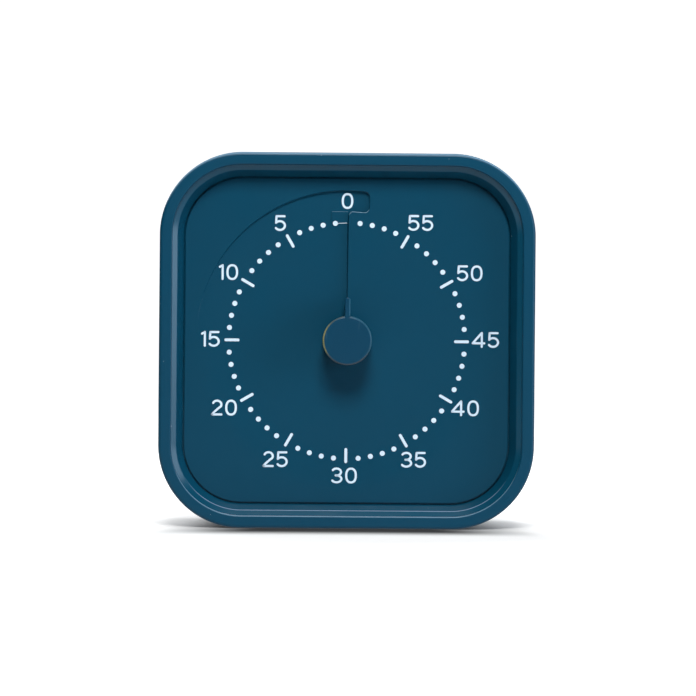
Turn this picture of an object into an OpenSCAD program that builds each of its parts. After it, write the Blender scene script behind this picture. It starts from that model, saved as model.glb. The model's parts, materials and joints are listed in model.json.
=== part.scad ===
// Visual countdown timer. The knob turns anticlockwise to set up to sixty minutes and draws
// a coloured spiral disk out of the slot in the dial. A quartz movement winds it back to zero.
// All sizes are in millimetres. The timer stands on Z = 0 and its dial faces -Y.

/* [Body] */
// Width and height over the soft cover
body_w = 92; // [90:0.5:110]
// Depth from the front rim to the back
body_d = 40.5; // [40.5:0.5:60]
// Corner radius of the outline
corner_r = 20.3; // [17:0.1:23]

/* [Soft cover] */
// Thickness of the cover round the sides
cover_t = 1.6; // [1.2:0.1:2]
// Width of the lip that holds the front rim
lip_w = 3.1; // [2.6:0.1:3.6]
// Width of the lip that holds the back edge
rear_lip_w = 4; // [3:0.1:5]
// Thickness of both lips
lip_t = 1; // [0.8:0.1:1.4]
// Radius of the front outer edge
front_edge_r = 0.9; // [0.3:0.1:1.2]
// Radius of the back outer edge
rear_edge_r = 1.5; // [0.3:0.1:1.6]

/* [Case] */
// Wall thickness of the case halves
case_t = 1.6; // [1.2:0.1:2]
// Width of the sloped band inside the lip
bezel_w = 1.3; // [0.8:0.1:1.6]
// Drop of the sloped band from the lip
bezel_drop = 0.9; // [0.4:0.1:1.6]
// Draft of the wall that leads down to the dial
bezel_draft = 1.35; // [0.6:0.05:1.6]
// Thickness of the bulkhead that the dial lies on
bulkhead_t = 3; // [2.4:0.1:3.2]
// Depth at which the case halves meet
split_d = 20; // [16:0.5:22]
// Height of the tongue that lines the halves up
tongue_h = 3; // [1:0.5:4]
// Thickness of the tongue
tongue_t = 1; // [0.8:0.1:1.4]
// Thickness of the back panel
panel_t = 1.8; // [1.6:0.1:2]

/* [Dial] */
// Depth of the dial behind the rim
dial_d = 6; // [5:0.1:6.5]
// Thickness of the dial plate
dial_t = 1.2; // [1.2:0.1:1.4]
// Groove between the dial and the case
dial_groove = 0.25; // [0.1:0.05:0.5]
// Thickness of the dial sheet over the disk
sheet_t = 0.5; // [0.4:0.05:0.5]
// Plain border between the spiral recess and the edge of the dial
dial_border = 3; // [2:0.5:5]
// Angle over which the spiral recess runs out
recess_span = 90; // [60:5:120]
// Width of the slot that the disk comes out of
slot_w = 0.5; // [0.3:0.05:0.8]
// Reach of the pocket under the zero, right of the slot
pocket_w = 5.35; // [4:0.05:7]
// Height of that pocket
pocket_h = 5.1; // [4.5:0.1:6]
// Corner radius of that pocket
pocket_corner_r = 1.3; // [0.5:0.1:1.5]
// Chamfer where the slot's right edge meets the pocket
lip_chamfer = 0.95; // [0.2:0.05:1.5]
// Width of the land beside the slot
land_w = 3.5; // [2:0.1:6]
// Length of that land, from the end of the slot to the pocket
land_len = 2.9; // [2.4:0.1:4]
// Height of the land above the recess
land_h = 0.25; // [0.1:0.05:0.5]

/* [Disk] */
// How far the edge of the coloured disk stays inside the end of the slot
disk_inset = 3; // [2.8:0.1:5]
// Thickness of the coloured disk
disk_t = 0.25; // [0.15:0.05:0.25]
// Running gap above and below the disk
disk_gap = 0.125; // [0.1:0.005:0.15]
// Radius of the disk's hub
hub_r = 4.4; // [3.6:0.1:4.6]
// Opening between the disk's two ends
disk_cut_w = 1.3; // [1:0.1:2]

/* [Knob] */
// Radius of the knob
knob_r = 6; // [5.8:0.1:9]
// Height of the knob in front of the rim
knob_proud = 3.5; // [0.5:0.1:8]
// Radius of the knob's front edge
knob_edge_r = 0.6; // [0.2:0.1:1]
// Width of the pointer fin
pointer_w = 1.25; // [0.8:0.05:2]
// Reach of the pointer fin from the centre
pointer_reach = 10.5; // [9:0.1:16]
// Radius of the pointer's upper tip
pointer_tip_r = 1.2; // [0.4:0.1:2]
// Running gap under the knob, over the drawn disk
knob_gap = 0.425; // [0.3:0.025:0.6]

/* [Arbor] */
// Radius of the arbor
arbor_r = 1.5; // [1.3:0.05:1.6]
// Width across the square that drives the disk
square_w = 3; // [2.6:0.1:3.2]
// Radial gap round the arbor in its bush
bush_gap = 0.05; // [0.02:0.01:0.08]
// Outer radius of the bush
bush_r = 3; // [2.6:0.1:3.5]

/* [Movement] */
// Space between the movement and the case wall
movement_margin = 12.2; // [11.7:0.1:12.7]
// Corner radius of the movement
movement_corner_r = 6; // [4:0.5:8]
// Thickness of the movement plate
plate_t = 1.2; // [1:0.1:1.4]
// Depth of the movement cover
movement_d = 9.9; // [9.9:0.1:10.2]
// Wall of the movement cover
movement_wall = 1; // [0.8:0.1:1.2]
// Gear module
gear_module = 0.4; // [0.36:0.01:0.42]
// Thickness of the wheels
wheel_t = 1; // [0.8:0.1:1]
// Radius of the rotor magnet
magnet_r = 3; // [2.5:0.1:3.2]
// Height of the rotor magnet
magnet_h = 2.5; // [2:0.1:2.5]
// Length of the coil
coil_len = 18; // [14:0.5:20]
// Outer radius of the coil
coil_r = 3.4; // [2.6:0.1:3.6]
// Distance of the coil's axis above the rotor
coil_rise = 8.3; // [7.8:0.1:8.8]

/* [Electronics] */
// How far the circuit board reaches past the battery contacts
board_over = 0.8; // [0.6:0.1:1.2]
// Gap between the circuit board and the battery bay
board_gap = 6.25; // [5:0.05:8]
// Thickness of the circuit board
board_t = 1.6; // [1:0.1:1.6]
// Radius of the buzzer
buzzer_r = 7; // [5:0.1:7.5]
// Travel of the alert slider
slider_travel = 3; // [2:0.1:4]

/* [Battery] */
// Radius of the AA cell
cell_r = 7.15; // [6.8:0.05:7.25]
// Length of the AA cell
cell_len = 50.3; // [49:0.1:50.5]
// Room for a contact at each end of the cell
contact_room = 3.05; // [2.8:0.05:3.4]
// Height of the cell's axis above the lower case screws
cell_lift = 13.5; // [12.5:0.1:14.5]
// Thickness of the battery door
door_t = 1.5; // [1.2:0.1:1.6]
// Width of the edge that the door rests on
door_edge = 0.8; // [0.5:0.1:1]
// Clearance round the battery door
door_gap = 0.2; // [0.1:0.05:0.4]

/* [Fasteners] */
// Distance of the case screws in from the outline
screw_inset = 12.5; // [12:0.1:13]
// Shank radius of the case screws
case_screw_r = 1.2; // [1:0.05:1.3]
// Shank radius of the movement and board screws
small_screw_r = 0.85; // [0.7:0.05:0.9]

/* [Hidden] */
$fn = 96;

// Clearances
seat_gap = 0.05;        // between flat faces that seat on each other
side_gap = 0.1;         // round a part that drops into another
press_gap = 0.02;       // radial, on pressed and threaded joints
over = 1;               // how far a cut runs past the face that it opens
turn = 360;             // a full turn of the knob, in degrees

// Half sizes of the nested outlines, seen from the front
outer_half = body_w / 2;
corner_c = outer_half - corner_r;               // centre of every corner arc of the case
rim_half = outer_half - lip_w;
crest_half = rim_half - bezel_w;
bezel_half = crest_half - bezel_draft;
dial_half = bezel_half - dial_groove;
case_half = outer_half - cover_t - side_gap;
case_in_half = case_half - case_t;
rear_open_half = outer_half - rear_lip_w;

// Depths, as Z of the upright-facing frame: 0 at the rim, negative towards the back
rim_y = (knob_proud - body_d) / 2;              // where the rim plane lies along Y
case_front_z = -lip_t - seat_gap;
crest_z = -lip_t - bezel_drop;
dial_z = -dial_d;
bulkhead_z = dial_z - dial_t - seat_gap;
bulkhead_back_z = bulkhead_z - bulkhead_t;
case_back_z = -body_d + lip_t + seat_gap;       // outer face of the back panel
panel_in_z = case_back_z + panel_t;
split_z = -split_d;

// Radii of the dial, from its edge inwards
recess_r = dial_half - dial_border;
pocket_r = recess_r - pocket_h;
slot_r = pocket_r - land_len;                   // where the slot ends
disk_r = slot_r - disk_inset;

// The dial sheet climbs by one pitch round the dial, so the disk can pass over its own end
pitch = sheet_t + disk_t + 2 * disk_gap;
disk_low = sheet_t + disk_gap + disk_t;         // from the dial surface down to the disk's underside
chamber_r = disk_r + 0.4;
chamber_wall_t = 4.1;
chamber_wall_r = chamber_r + chamber_wall_t;
blend_r = chamber_r + 0.2;                      // outside it the climb blends into the flat dial
blend_end_r = recess_r - 0.5;
hub_hole_r = hub_r + 0.4;
hub_bottom_z = dial_z - pitch - disk_low - 0.5;
hub_top_z = dial_z + 0.2;
chamber_floor_z = hub_bottom_z - 0.225;
chamber_wall_z = chamber_floor_z + 0.2;
spiral_steps = 24;                              // facets in each half turn of the spiral surfaces
spiral_lap = 5;                                 // degrees by which the two half turns overlap
spiral_start = -0.5;                            // start of the first half, inside the slot
run_out = 0.03;                                 // lifts the cut clear of the flat dial
slot_left = -0.05;                              // left edge of the slot, just past the seam
slot_right = slot_left + slot_w;
slot_groove = 1.9;                              // depth of the slot outside the chamber

// Knob and arbor
knob_top_z = knob_proud;
knob_bottom_z = dial_z + disk_gap + disk_t + knob_gap;
knob_hollow_r = hub_r + 0.5;
knob_hollow_z = hub_top_z + pitch + 0.6;
knob_bore_z = knob_top_z - 2;
square_top_z = hub_top_z + pitch + 0.3;
square_bottom_z = hub_bottom_z - 0.1;

// Movement, front to back
movement_half = case_in_half - movement_margin;
plate_z = bulkhead_back_z - seat_gap;
plate_back_z = plate_z - plate_t;
movement_back_z = plate_back_z - movement_d;
movement_in_z = movement_back_z + movement_wall;
spigot_r = chamber_wall_r + 0.1 - side_gap;
bush_back_z = plate_back_z - 0.2;
clip_t = 0.4;
clip_r = 2.6;
clip_neck_r = arbor_r - 0.35;
clip_z = bush_back_z - side_gap;
spring_z = clip_z - clip_t - seat_gap;
spring_t = 0.2;
spring_r = 3.2;
wheel_z = spring_z - spring_t - seat_gap - wheel_t;
layer_gap = 0.5;
second_wheel_z = wheel_z - layer_gap - wheel_t;
pinion_extra = 0.3;
stator_t = 0.9;
magnet_z = second_wheel_z - 0.7 - magnet_h;
stator_z = magnet_z + (magnet_h - stator_t) / 2;
pivot_r = 0.4;
staff_r = 0.6;
pivot_gap = 0.05;
pivot_depth = 0.7;

// Gears: each stage steps up by four, so the tooth counts stay fixed
wheel_teeth = 48;
pinion_teeth = 12;
pressure = 25;
addendum = 0.9 * gear_module;
dedendum = 1.15 * gear_module;
backlash = 0.07;
flank_steps = 4;
wheel_pitch_r = wheel_teeth * gear_module / 2;
pinion_pitch_r = pinion_teeth * gear_module / 2;
gear_centres = wheel_pitch_r + pinion_pitch_r;
intermediate_at = [-gear_centres, 0];
rotor_at = [-gear_centres, gear_centres];
web_t = 0.4;                                    // thickness of a wheel's web inside its rim

// Stator and coil
coil_y = rotor_at.y + coil_rise;
stator_low = 2;                                 // stator below and above the rotor magnet
stator_high = 1.6;
core_w = 2.5;
core_h = 1;
core_z = stator_z + stator_t + seat_gap;
coil_mid_z = core_z + core_h / 2;
coil_mid_x = -3;
flange_t = 0.8;
core_end = 5;                                   // length of core beyond the coil at each end
arm_w = 4;

// Screws: head radius, head height
case_head = [2.6, 1.8];
small_head = [1.7, 1.2];
screw_at = outer_half - screw_inset;
boss_r = 3.4;
tube_r = 3.9;
boss_back_z = -24;
shelf_t = 2.9;
case_screw_in = 9;                              // thread length in the front boss
small_screw_in = 2.2;                           // thread length in the bulkhead
movement_screw_in = 3.4;                        // from the housing's edge to a screw's axis
movement_screw_at = movement_half - movement_screw_in;
movement_tube_r = 2.7;
slot_cut = [0.5, 0.8];                          // width and depth of the cross in a screw head

// Battery bay
cell_nub_r = 2.75;
cell_nub_h = 1.1;
cell_gap = 0.2;
cell_drop = screw_at - cell_lift;               // of the cell's axis below the centre of the dial
bay_half_len = cell_len / 2 + contact_room;
bay_wall = 1.4;
bay_floor_t = 1;
door_in_z = case_back_z + door_t;
cell_z = door_in_z + cell_gap + cell_r;
bay_floor_z = cell_z + cell_r + cell_gap + 0.1; // back face of the bay's floor
bay_half_h = cell_r + cell_gap;
contact_t = 0.4;
contact_w = 10;
cell_right = bay_half_len - cell_gap - contact_t - cell_gap;
spring_wire_r = 0.35;
spring_turns = 3;
spring_steps = 14;                              // rings in each turn of the battery spring
spring_sides = 6;
spring_base_r = 5;
spring_tip_r = 3;
tail_w = 1.5;

// Circuit board, on posts between the battery bay and the upper case screws
board_w = 2 * (bay_half_len + board_over);
board_tube_gap = 0.6;
board_top = screw_at - tube_r - board_tube_gap;
board_h = board_top + cell_drop - bay_half_h - bay_wall - board_gap;
board_y = board_top - board_h / 2;
board_screw_in = 3.4;                           // thread length in a post
post_h = 4.7;
board_back_z = panel_in_z + post_h;
board_z = board_back_z + board_t;
post_r = 2.4;
post_inset = 3.2;
parts_up = 5;                                   // of the buzzer and the switch above its centre
buzzer_at = [13, board_y + parts_up];
buzzer_gap = 0.3;
buzzer_port = [1, 1.2];                         // radius and depth of its mouth
sound_hole_r = 0.8;
sound_ring_r = 3.2;
switch_at = [-12, board_y + parts_up];
switch_size = [12, 6, 3.6];
slider_size = [3.4, 3];
slider_foot = [5.4, 4.4, 0.7];
slider_proud = 0.5;

// ---- helpers ----

// Stands the upright frame (X right, Y up, Z to the viewer) on the table
module place() {
    translate([0, rim_y, outer_half]) rotate([90, 0, 0]) children();
}

// A square with rounded corners
module rounded_square(half_w, half_h, r) {
    square([2 * half_w, 2 * (half_h - r)], center = true);
    square([2 * (half_w - r), 2 * half_h], center = true);
    for (x = [-1, 1], y = [-1, 1]) translate([x * (half_w - r), y * (half_h - r)]) circle(r);
}

// A slab whose corners share the case's corner centres
module slab(half, z0, z1) {
    translate([0, 0, z0]) linear_extrude(z1 - z0) rounded_square(half, half, half - corner_c);
}

// A slab of its own width, height and corner radius
module tile(half_w, half_h, r, z0, z1) {
    translate([0, 0, z0]) linear_extrude(z1 - z0) rounded_square(half_w, half_h, r);
}

// A plain block between two corners
module block(low, high) {
    translate(low) cube(high - low);
}

module rod(r, z0, z1) {
    translate([0, 0, z0]) cylinder(r = r, h = z1 - z0);
}

// Sweeps a profile round the case. The profile's X is the half size of the outline it makes.
module swept_profile() {
    for (side = [0:90:270]) rotate(side) {
        translate([corner_c, corner_c, 0]) rotate_extrude(angle = 90)
            translate([-corner_c, 0]) children();
        translate([0, corner_c, 0]) rotate([90, 0, 0]) linear_extrude(2 * corner_c) children();
    }
}

module at_corners(d) {
    for (x = [-d, d], y = [-d, d]) translate([x, y, 0]) children();
}

// A solid between two surfaces low(r, a) and high(r, a), from angle a0 to a1 anticlockwise
// from the top of the dial
module spiral_solid(radii, a0, a1, low, high) {
    n = len(radii);
    at = function(i, j, side) i * 2 * n + side * n + j;
    angle_at = function(i) a0 + (a1 - a0) * i / spiral_steps;
    points = [
        for (i = [0:spiral_steps], side = [0, 1], r = radii) let (a = angle_at(i))
            [-r * sin(a), r * cos(a), side == 0 ? low(r, a) : high(r, a)]
    ];
    quads = [
        for (i = [0:spiral_steps - 1], j = [0:n - 2]) each [
            [at(i, j, 1), at(i + 1, j, 1), at(i + 1, j + 1, 1), at(i, j + 1, 1)],
            [at(i, j, 0), at(i, j + 1, 0), at(i + 1, j + 1, 0), at(i + 1, j, 0)]
        ],
        for (i = [0:spiral_steps - 1]) each [
            [at(i, 0, 0), at(i + 1, 0, 0), at(i + 1, 0, 1), at(i, 0, 1)],
            [at(i, n - 1, 1), at(i + 1, n - 1, 1), at(i + 1, n - 1, 0), at(i, n - 1, 0)]
        ],
        for (j = [0:n - 2]) each [
            [at(0, j, 1), at(0, j + 1, 1), at(0, j + 1, 0), at(0, j, 0)],
            let (i = spiral_steps) [at(i, j, 0), at(i, j + 1, 0), at(i, j + 1, 1), at(i, j, 1)]
        ]
    ];
    triangles = [for (q = quads) each [[q[0], q[1], q[2]], [q[0], q[2], q[3]]]];
    polyhedron(points, triangles);
}

// The same in two half turns that overlap, so that no solid meets itself
module spiral_turn(radii, low, high) {
    spiral_solid(radii, spiral_start, turn / 2 + spiral_lap, low, high);
    spiral_solid(radii, turn / 2, turn, low, high);
}

// Height of the dial sheet's front face near the hub, at angle a from the slot
function climb(a) = dial_z - pitch * (1 - max(a, 0) / turn);

// Height of the recess outside the chamber: it runs out after recess_span
function run(a) = a < recess_span ? dial_z - pitch * (1 - max(a, 0) / recess_span) : dial_z + run_out;

function smooth(t) = let (x = min(max(t, 0), 1)) x * x * (3 - 2 * x);

function dial_surface(r, a) =
    climb(a) + (run(a) - climb(a)) * smooth((r - blend_r) / (blend_end_r - blend_r));

// A gear outline with involute flanks. The first tooth points along +X.
function roll(base_r, r) = let (t = sqrt(max(0, pow(r / base_r, 2) - 1))) t * 180 / PI - atan(t);

function tooth_half(teeth, r) =
    let (pitch_r = teeth * gear_module / 2, base_r = pitch_r * cos(pressure))
    90 / teeth - backlash / 2 / pitch_r * 180 / PI + roll(base_r, pitch_r) - roll(base_r, r);

module gear_outline(teeth) {
    pitch_r = teeth * gear_module / 2;
    base_r = pitch_r * cos(pressure);
    root_r = pitch_r - dedendum;
    tip_r = pitch_r + addendum;
    flank_r = max(base_r, root_r);
    flank = [for (i = [0:flank_steps]) flank_r + (tip_r - flank_r) * i / flank_steps];
    side = [[root_r, tooth_half(teeth, flank_r)], for (r = flank) [r, tooth_half(teeth, r)]];
    last = len(side) - 1;
    tooth = [for (p = side) [p[0], -p[1]], for (i = [last:-1:0]) side[i]];
    polygon([
        for (k = [0:teeth - 1], p = tooth) let (a = p[1] + k * 360 / teeth)
            p[0] * [cos(a), sin(a)]
    ]);
}

// A wire along a list of points, closed at both ends
module wire(path, r, sides) {
    n = len(path);
    unit = function(v) v / norm(v);
    ring = [
        for (i = [0:n - 1])
            let (t = unit(path[min(i + 1, n - 1)] - path[max(i - 1, 0)]),
                 u = unit(cross(t, [1, 0, 0])), v = cross(t, u))
            for (k = [0:sides - 1]) let (a = k * 360 / sides)
                path[i] + r * (u * cos(a) + v * sin(a))
    ];
    wall = [
        for (i = [0:n - 2], k = [0:sides - 1]) let (a = i * sides, m = (k + 1) % sides)
            each [[a + k, a + sides + k, a + sides + m], [a + k, a + sides + m, a + m]]
    ];
    first = [for (k = [0:sides - 1]) k];
    last = [for (k = [sides - 1:-1:0]) (n - 1) * sides + k];
    polyhedron(ring, concat([first], wall, [last]));
}

// A pan-head screw with its seat at z0 and its tip at z1. Its head points to -Z.
module screw(shank_r, head, z0, z1) {
    rod(shank_r, z0 - head[1] / 2, z1);
    difference() {
        rod(head[0], z0 - head[1], z0);
        for (a = [0, 90]) rotate(a)
            block([-head[0] / 2, -slot_cut[0] / 2, z0 - head[1] - over],
                  [head[0] / 2, slot_cut[0] / 2, z0 - head[1] + slot_cut[1]]);
    }
}

// ---- body ----

module cover_profile() {
    difference() {
        union() {
            translate([outer_half - cover_t, -body_d + rear_edge_r])
                square([cover_t, body_d - rear_edge_r - front_edge_r]);
            translate([outer_half - front_edge_r, -front_edge_r]) circle(front_edge_r);
            translate([outer_half - rear_edge_r, -body_d + rear_edge_r]) circle(rear_edge_r);
            translate([rim_half, -lip_t]) square([lip_w - front_edge_r, lip_t]);
            translate([rear_open_half, -body_d]) square([rear_lip_w - rear_edge_r, lip_t]);
        }
        translate([rear_open_half - over, -body_d + lip_t])
            square([rear_lip_w + over - cover_t, body_d - 2 * lip_t]);
    }
}

module silicone_cover() {
    color("#1f4b66") place() swept_profile() cover_profile();
}

module front_profile() {
    polygon([
        [case_half, case_front_z], [rim_half, case_front_z], [crest_half, crest_z],
        [bezel_half, dial_z], [bezel_half, bulkhead_back_z], [case_in_half, bulkhead_back_z],
        [case_in_half, split_z], [case_half, split_z]
    ]);
}

module front_case() {
    color("#194459") place() difference() {
        union() {
            swept_profile() front_profile();
            slab(bezel_half + case_t / 2, bulkhead_back_z, bulkhead_z);
            at_corners(screw_at) rod(boss_r, boss_back_z, bulkhead_back_z + over);
            boss_webs(split_z + tongue_h + side_gap, bulkhead_back_z + over, boss_r);
        }
        rod(chamber_wall_r + 0.1, bulkhead_back_z - over, bulkhead_z + over);
        at_corners(screw_at)
            rod(case_screw_r + press_gap, boss_back_z - over, boss_back_z + case_screw_in + over);
        at_corners(movement_screw_at)
            rod(small_screw_r + press_gap, bulkhead_back_z - over,
                bulkhead_back_z + small_screw_in + 0.3);
    }
}

// Webs that tie the corner bosses to the case wall
module boss_webs(z0, z1, r) {
    corner = corner_c + (case_in_half - corner_c) * sin(45);
    reach = norm([corner - screw_at, corner - screw_at]) + case_t / 2;
    for (a = [45:90:315]) rotate(a) translate([screw_at * sqrt(2), 0, 0])
        block([r / 2, -case_t / 2, z0], [reach, case_t / 2, z1]);
}

module rear_case() {
    color("#194459") place() difference() {
        union() {
            difference() {
                slab(case_half, case_back_z, split_z - seat_gap);
                slab(case_in_half, panel_in_z, split_z + over);
            }
            difference() {
                slab(case_in_half - side_gap, split_z - tongue_h, split_z + tongue_h);
                slab(case_in_half - side_gap - tongue_t, split_z - tongue_h - over,
                     split_z + tongue_h + over);
            }
            swept_profile() translate([case_in_half - side_gap - tongue_t, split_z - tongue_h])
                square([tongue_t + side_gap + case_t / 2, tongue_h - side_gap]);
            at_corners(screw_at) rod(tube_r, panel_in_z - over / 2, boss_back_z - seat_gap);
            boss_webs(panel_in_z - over / 2, boss_back_z - seat_gap, tube_r);
            battery_bay();
            for (p = post_places()) translate(p)
                rod(post_r, panel_in_z - over / 2, board_back_z - seat_gap);
        }
        at_corners(screw_at) {
            rod(case_screw_r + 0.4, case_back_z - over, boss_back_z + over);
            rod(case_head[0] + 0.3, case_back_z - over, boss_back_z - shelf_t);
        }
        for (p = post_places()) translate(p)
            rod(small_screw_r + press_gap, panel_in_z + 0.5, board_back_z + over);
        door_opening();
        translate(switch_at) slider_slot();
        translate(buzzer_at) sound_holes();
    }
}

function post_places() = [
    for (x = [-1, 1], y = [-1, 1])
        [x * (board_w / 2 - post_inset), board_y + y * (board_h / 2 - post_inset), 0]
];

module battery_bay() {
    translate([0, -cell_drop, 0])
        tile(bay_half_len + bay_wall, bay_half_h + bay_wall, bay_wall, panel_in_z - over / 2,
             bay_floor_z + bay_floor_t);
}

// The bay's hollow, the door's seat and the slots for the contact tails
module door_opening() {
    translate([0, -cell_drop, 0]) {
        block([-bay_half_len, -bay_half_h, case_back_z - over],
              [bay_half_len, bay_half_h, bay_floor_z]);
        tile(bay_half_len + door_edge, bay_half_h + door_edge, bay_wall, case_back_z - over,
             door_in_z + side_gap);
        for (x = [-bay_half_len + cell_gap - side_gap, bay_half_len - cell_gap - contact_t - side_gap])
            block([x, 0, board_back_z - tail_w - side_gap],
                  [x + contact_t + 2 * side_gap, bay_half_h + bay_wall + over, board_back_z + side_gap]);
        translate([0, bay_half_h + door_edge, case_back_z]) finger_scoop();
    }
}

// A shallow scoop in the panel for a fingernail, at the door's upper edge
module finger_scoop() {
    scoop_r = 8;
    scoop_d = 0.8;
    scoop_w = 6;
    translate([0, 0, -scoop_r + scoop_d]) rotate([90, 0, 0])
        cylinder(r = scoop_r, h = scoop_w, center = true);
}

module slider_slot() {
    half_l = (slider_size[0] + slider_travel) / 2 + 0.3;
    translate([slider_travel / 2, 0, 0])
        tile(half_l, slider_size[1] / 2 + 0.3, 0.8, case_back_z - over, panel_in_z + over);
}

module sound_holes() {
    rod(sound_hole_r, case_back_z - over, panel_in_z + over);
    for (a = [0:60:300]) rotate(a) translate([sound_ring_r, 0, 0])
        rod(sound_hole_r, case_back_z - over, panel_in_z + over);
}

// ---- dial and disk ----

blend_stations = [for (i = [0:6]) blend_r + (blend_end_r - blend_r) * i / 6];

module dial_recess() {
    above = dial_z + 2;
    intersection() {
        spiral_turn(concat([hub_r / 2], blend_stations, [recess_r + over]),
                    function(r, a) dial_surface(r, a), function(r, a) above);
        rod(recess_r, dial_z - 2 * pitch, above + over);
    }
    // the step beside the slot and the pocket under the zero lie one pitch below the dial
    block([slot_left, hub_r, dial_z - pitch], [slot_right, pocket_r + over, above]);
    translate([0, 0, dial_z - pitch]) linear_extrude(above - dial_z + pitch) {
        pocket_outline();
        polygon([
            [slot_right, pocket_r - lip_chamfer], [slot_right + lip_chamfer, pocket_r],
            [slot_right + lip_chamfer, pocket_r + over], [slot_right - over / 4, pocket_r + over],
            [slot_right - over / 4, pocket_r - lip_chamfer]
        ]);
    }
}

// The pocket under the zero: a stretch of ring, closed on the right with corners of a few facets,
// which cross the ring's edges and never touch them at a tangent
module pocket_outline() {
    x = pocket_w - pocket_corner_r;
    low = sqrt(pow(pocket_r + pocket_corner_r, 2) - x * x);
    high = sqrt(pow(recess_r - pocket_corner_r, 2) - x * x);
    facet = 25;
    last = 2 * facet;
    slant = last + facet / 2;
    past = 1.5 * pocket_corner_r;
    corner = function(y, a) [x, y] + pocket_corner_r * [cos(a), sin(a)];
    intersection() {
        difference() {
            circle(recess_r);
            circle(pocket_r);
        }
        polygon([
            [-over, 0], [-over, recess_r + over],
            corner(high, last) + past * [-sin(slant), cos(slant)],
            for (a = [last:-facet:0]) corner(high, a),
            for (a = [0:-facet:-last]) corner(low, a),
            corner(low, -last) - past * [sin(slant), cos(slant)]
        ]);
    }
}

module under_dial() {
    spiral_turn([hub_r / 2, chamber_r],
                function(r, a) chamber_floor_z - over, function(r, a) climb(a) - sheet_t);
}

module dial_face() {
    color("#19475e") place() {
        difference() {
            union() {
                slab(dial_half, dial_z - dial_t, dial_z);
                rod(chamber_wall_r, chamber_wall_z, dial_z - dial_t / 2);
            }
            dial_recess();
            under_dial();
            rod(hub_hole_r, chamber_floor_z - over, dial_z + over);
            block([slot_left, 0, chamber_floor_z - over], [slot_right, chamber_r, dial_z + over]);
            block([slot_left, chamber_r - over, dial_z - slot_groove], [slot_right, slot_r, dial_z]);
        }
        intersection() {
            block([-land_w, slot_r, dial_z - dial_t], [slot_right, pocket_r, dial_z - pitch + land_h]);
            rod(pocket_r, dial_z - dial_t, dial_z);
        }
    }
}

module timer_disk() {
    color("#efe6d2") place() {
        difference() {
            intersection() {
                spiral_solid_fine([hub_r / 2, disk_r + over]);
                rod(disk_r, dial_z - 4 * pitch, dial_z + pitch);
            }
            block([-disk_cut_w / 2, 0, dial_z - 4 * pitch],
                  [disk_cut_w / 2, disk_r + over, dial_z + pitch]);
            rod(hub_r - 0.5, dial_z - 4 * pitch, dial_z + pitch);
        }
        difference() {
            rod(hub_r, hub_bottom_z, hub_top_z);
            block([-square_w / 2 - side_gap, -square_w / 2 - side_gap, hub_bottom_z - over],
                  [square_w / 2 + side_gap, square_w / 2 + side_gap, hub_top_z + over]);
        }
    }
}

// The disk's sheet: the same climb as the dial, one running gap under it
module spiral_solid_fine(radii) {
    top = function(r, a) climb(a) - sheet_t - disk_gap;
    bottom = function(r, a) climb(a) - disk_low;
    spiral_solid(radii, 0.5, turn / 2 + spiral_lap, bottom, top);
    spiral_solid(radii, turn / 2, turn - 0.5, bottom, top);
}

// ---- knob and arbor ----

module knob_profile() {
    square([knob_r - knob_edge_r, knob_top_z]);
    translate([0, knob_bottom_z]) square([knob_r, knob_top_z - knob_edge_r - knob_bottom_z]);
    translate([knob_r - knob_edge_r, knob_top_z - knob_edge_r]) circle(knob_edge_r);
}

module pointer() {
    block([-pointer_w / 2, knob_r / 2, knob_bottom_z],
          [pointer_w / 2, pointer_reach, knob_top_z - pointer_tip_r]);
    block([-pointer_w / 2, knob_r / 2, knob_bottom_z],
          [pointer_w / 2, pointer_reach - pointer_tip_r, knob_top_z]);
    translate([0, pointer_reach - pointer_tip_r, knob_top_z - pointer_tip_r]) rotate([0, 90, 0])
        cylinder(r = pointer_tip_r, h = pointer_w, center = true);
}

module knob() {
    color("#19435c") place() difference() {
        union() {
            rotate_extrude() knob_profile();
            pointer();
        }
        rod(knob_hollow_r, knob_bottom_z - over, knob_hollow_z);
        rod(arbor_r + press_gap, knob_bottom_z, knob_bore_z);
    }
}

module arbor() {
    color("silver") place() difference() {
        union() {
            rod(arbor_r, movement_in_z + side_gap, knob_bore_z - side_gap);
            rod(arbor_r / 2, movement_in_z - pivot_depth + side_gap, movement_in_z + over);
            block([-square_w / 2, -square_w / 2, square_bottom_z],
                  [square_w / 2, square_w / 2, square_top_z]);
        }
        difference() {
            rod(arbor_r + over, clip_z - clip_t - seat_gap, clip_z + seat_gap);
            rod(clip_neck_r, clip_z - over, clip_z + over);
        }
    }
}

module arbor_bush() {
    color("goldenrod") place() difference() {
        rod(bush_r, bush_back_z, chamber_floor_z - seat_gap);
        rod(arbor_r + bush_gap, bush_back_z - over, chamber_floor_z + over);
    }
}

module arbor_clip() {
    color("dimgray") place() difference() {
        rod(clip_r, clip_z - clip_t, clip_z);
        rod(clip_neck_r + press_gap, clip_z - clip_t - over, clip_z + over);
        block([-clip_neck_r * 0.8, 0, clip_z - clip_t - over],
              [clip_neck_r * 0.8, clip_r + over, clip_z + over]);
    }
}

module clutch_spring() {
    color("lightgray") place() difference() {
        rod(spring_r, spring_z - spring_t, spring_z);
        rod(arbor_r + bush_gap, spring_z - spring_t - over, spring_z + over);
        for (a = [0:60:300]) rotate(a)
            block([spring_r * 0.7, -0.3, spring_z - spring_t - over],
                  [spring_r + over, 0.3, spring_z + over]);
    }
}

// ---- gear train ----

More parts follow.
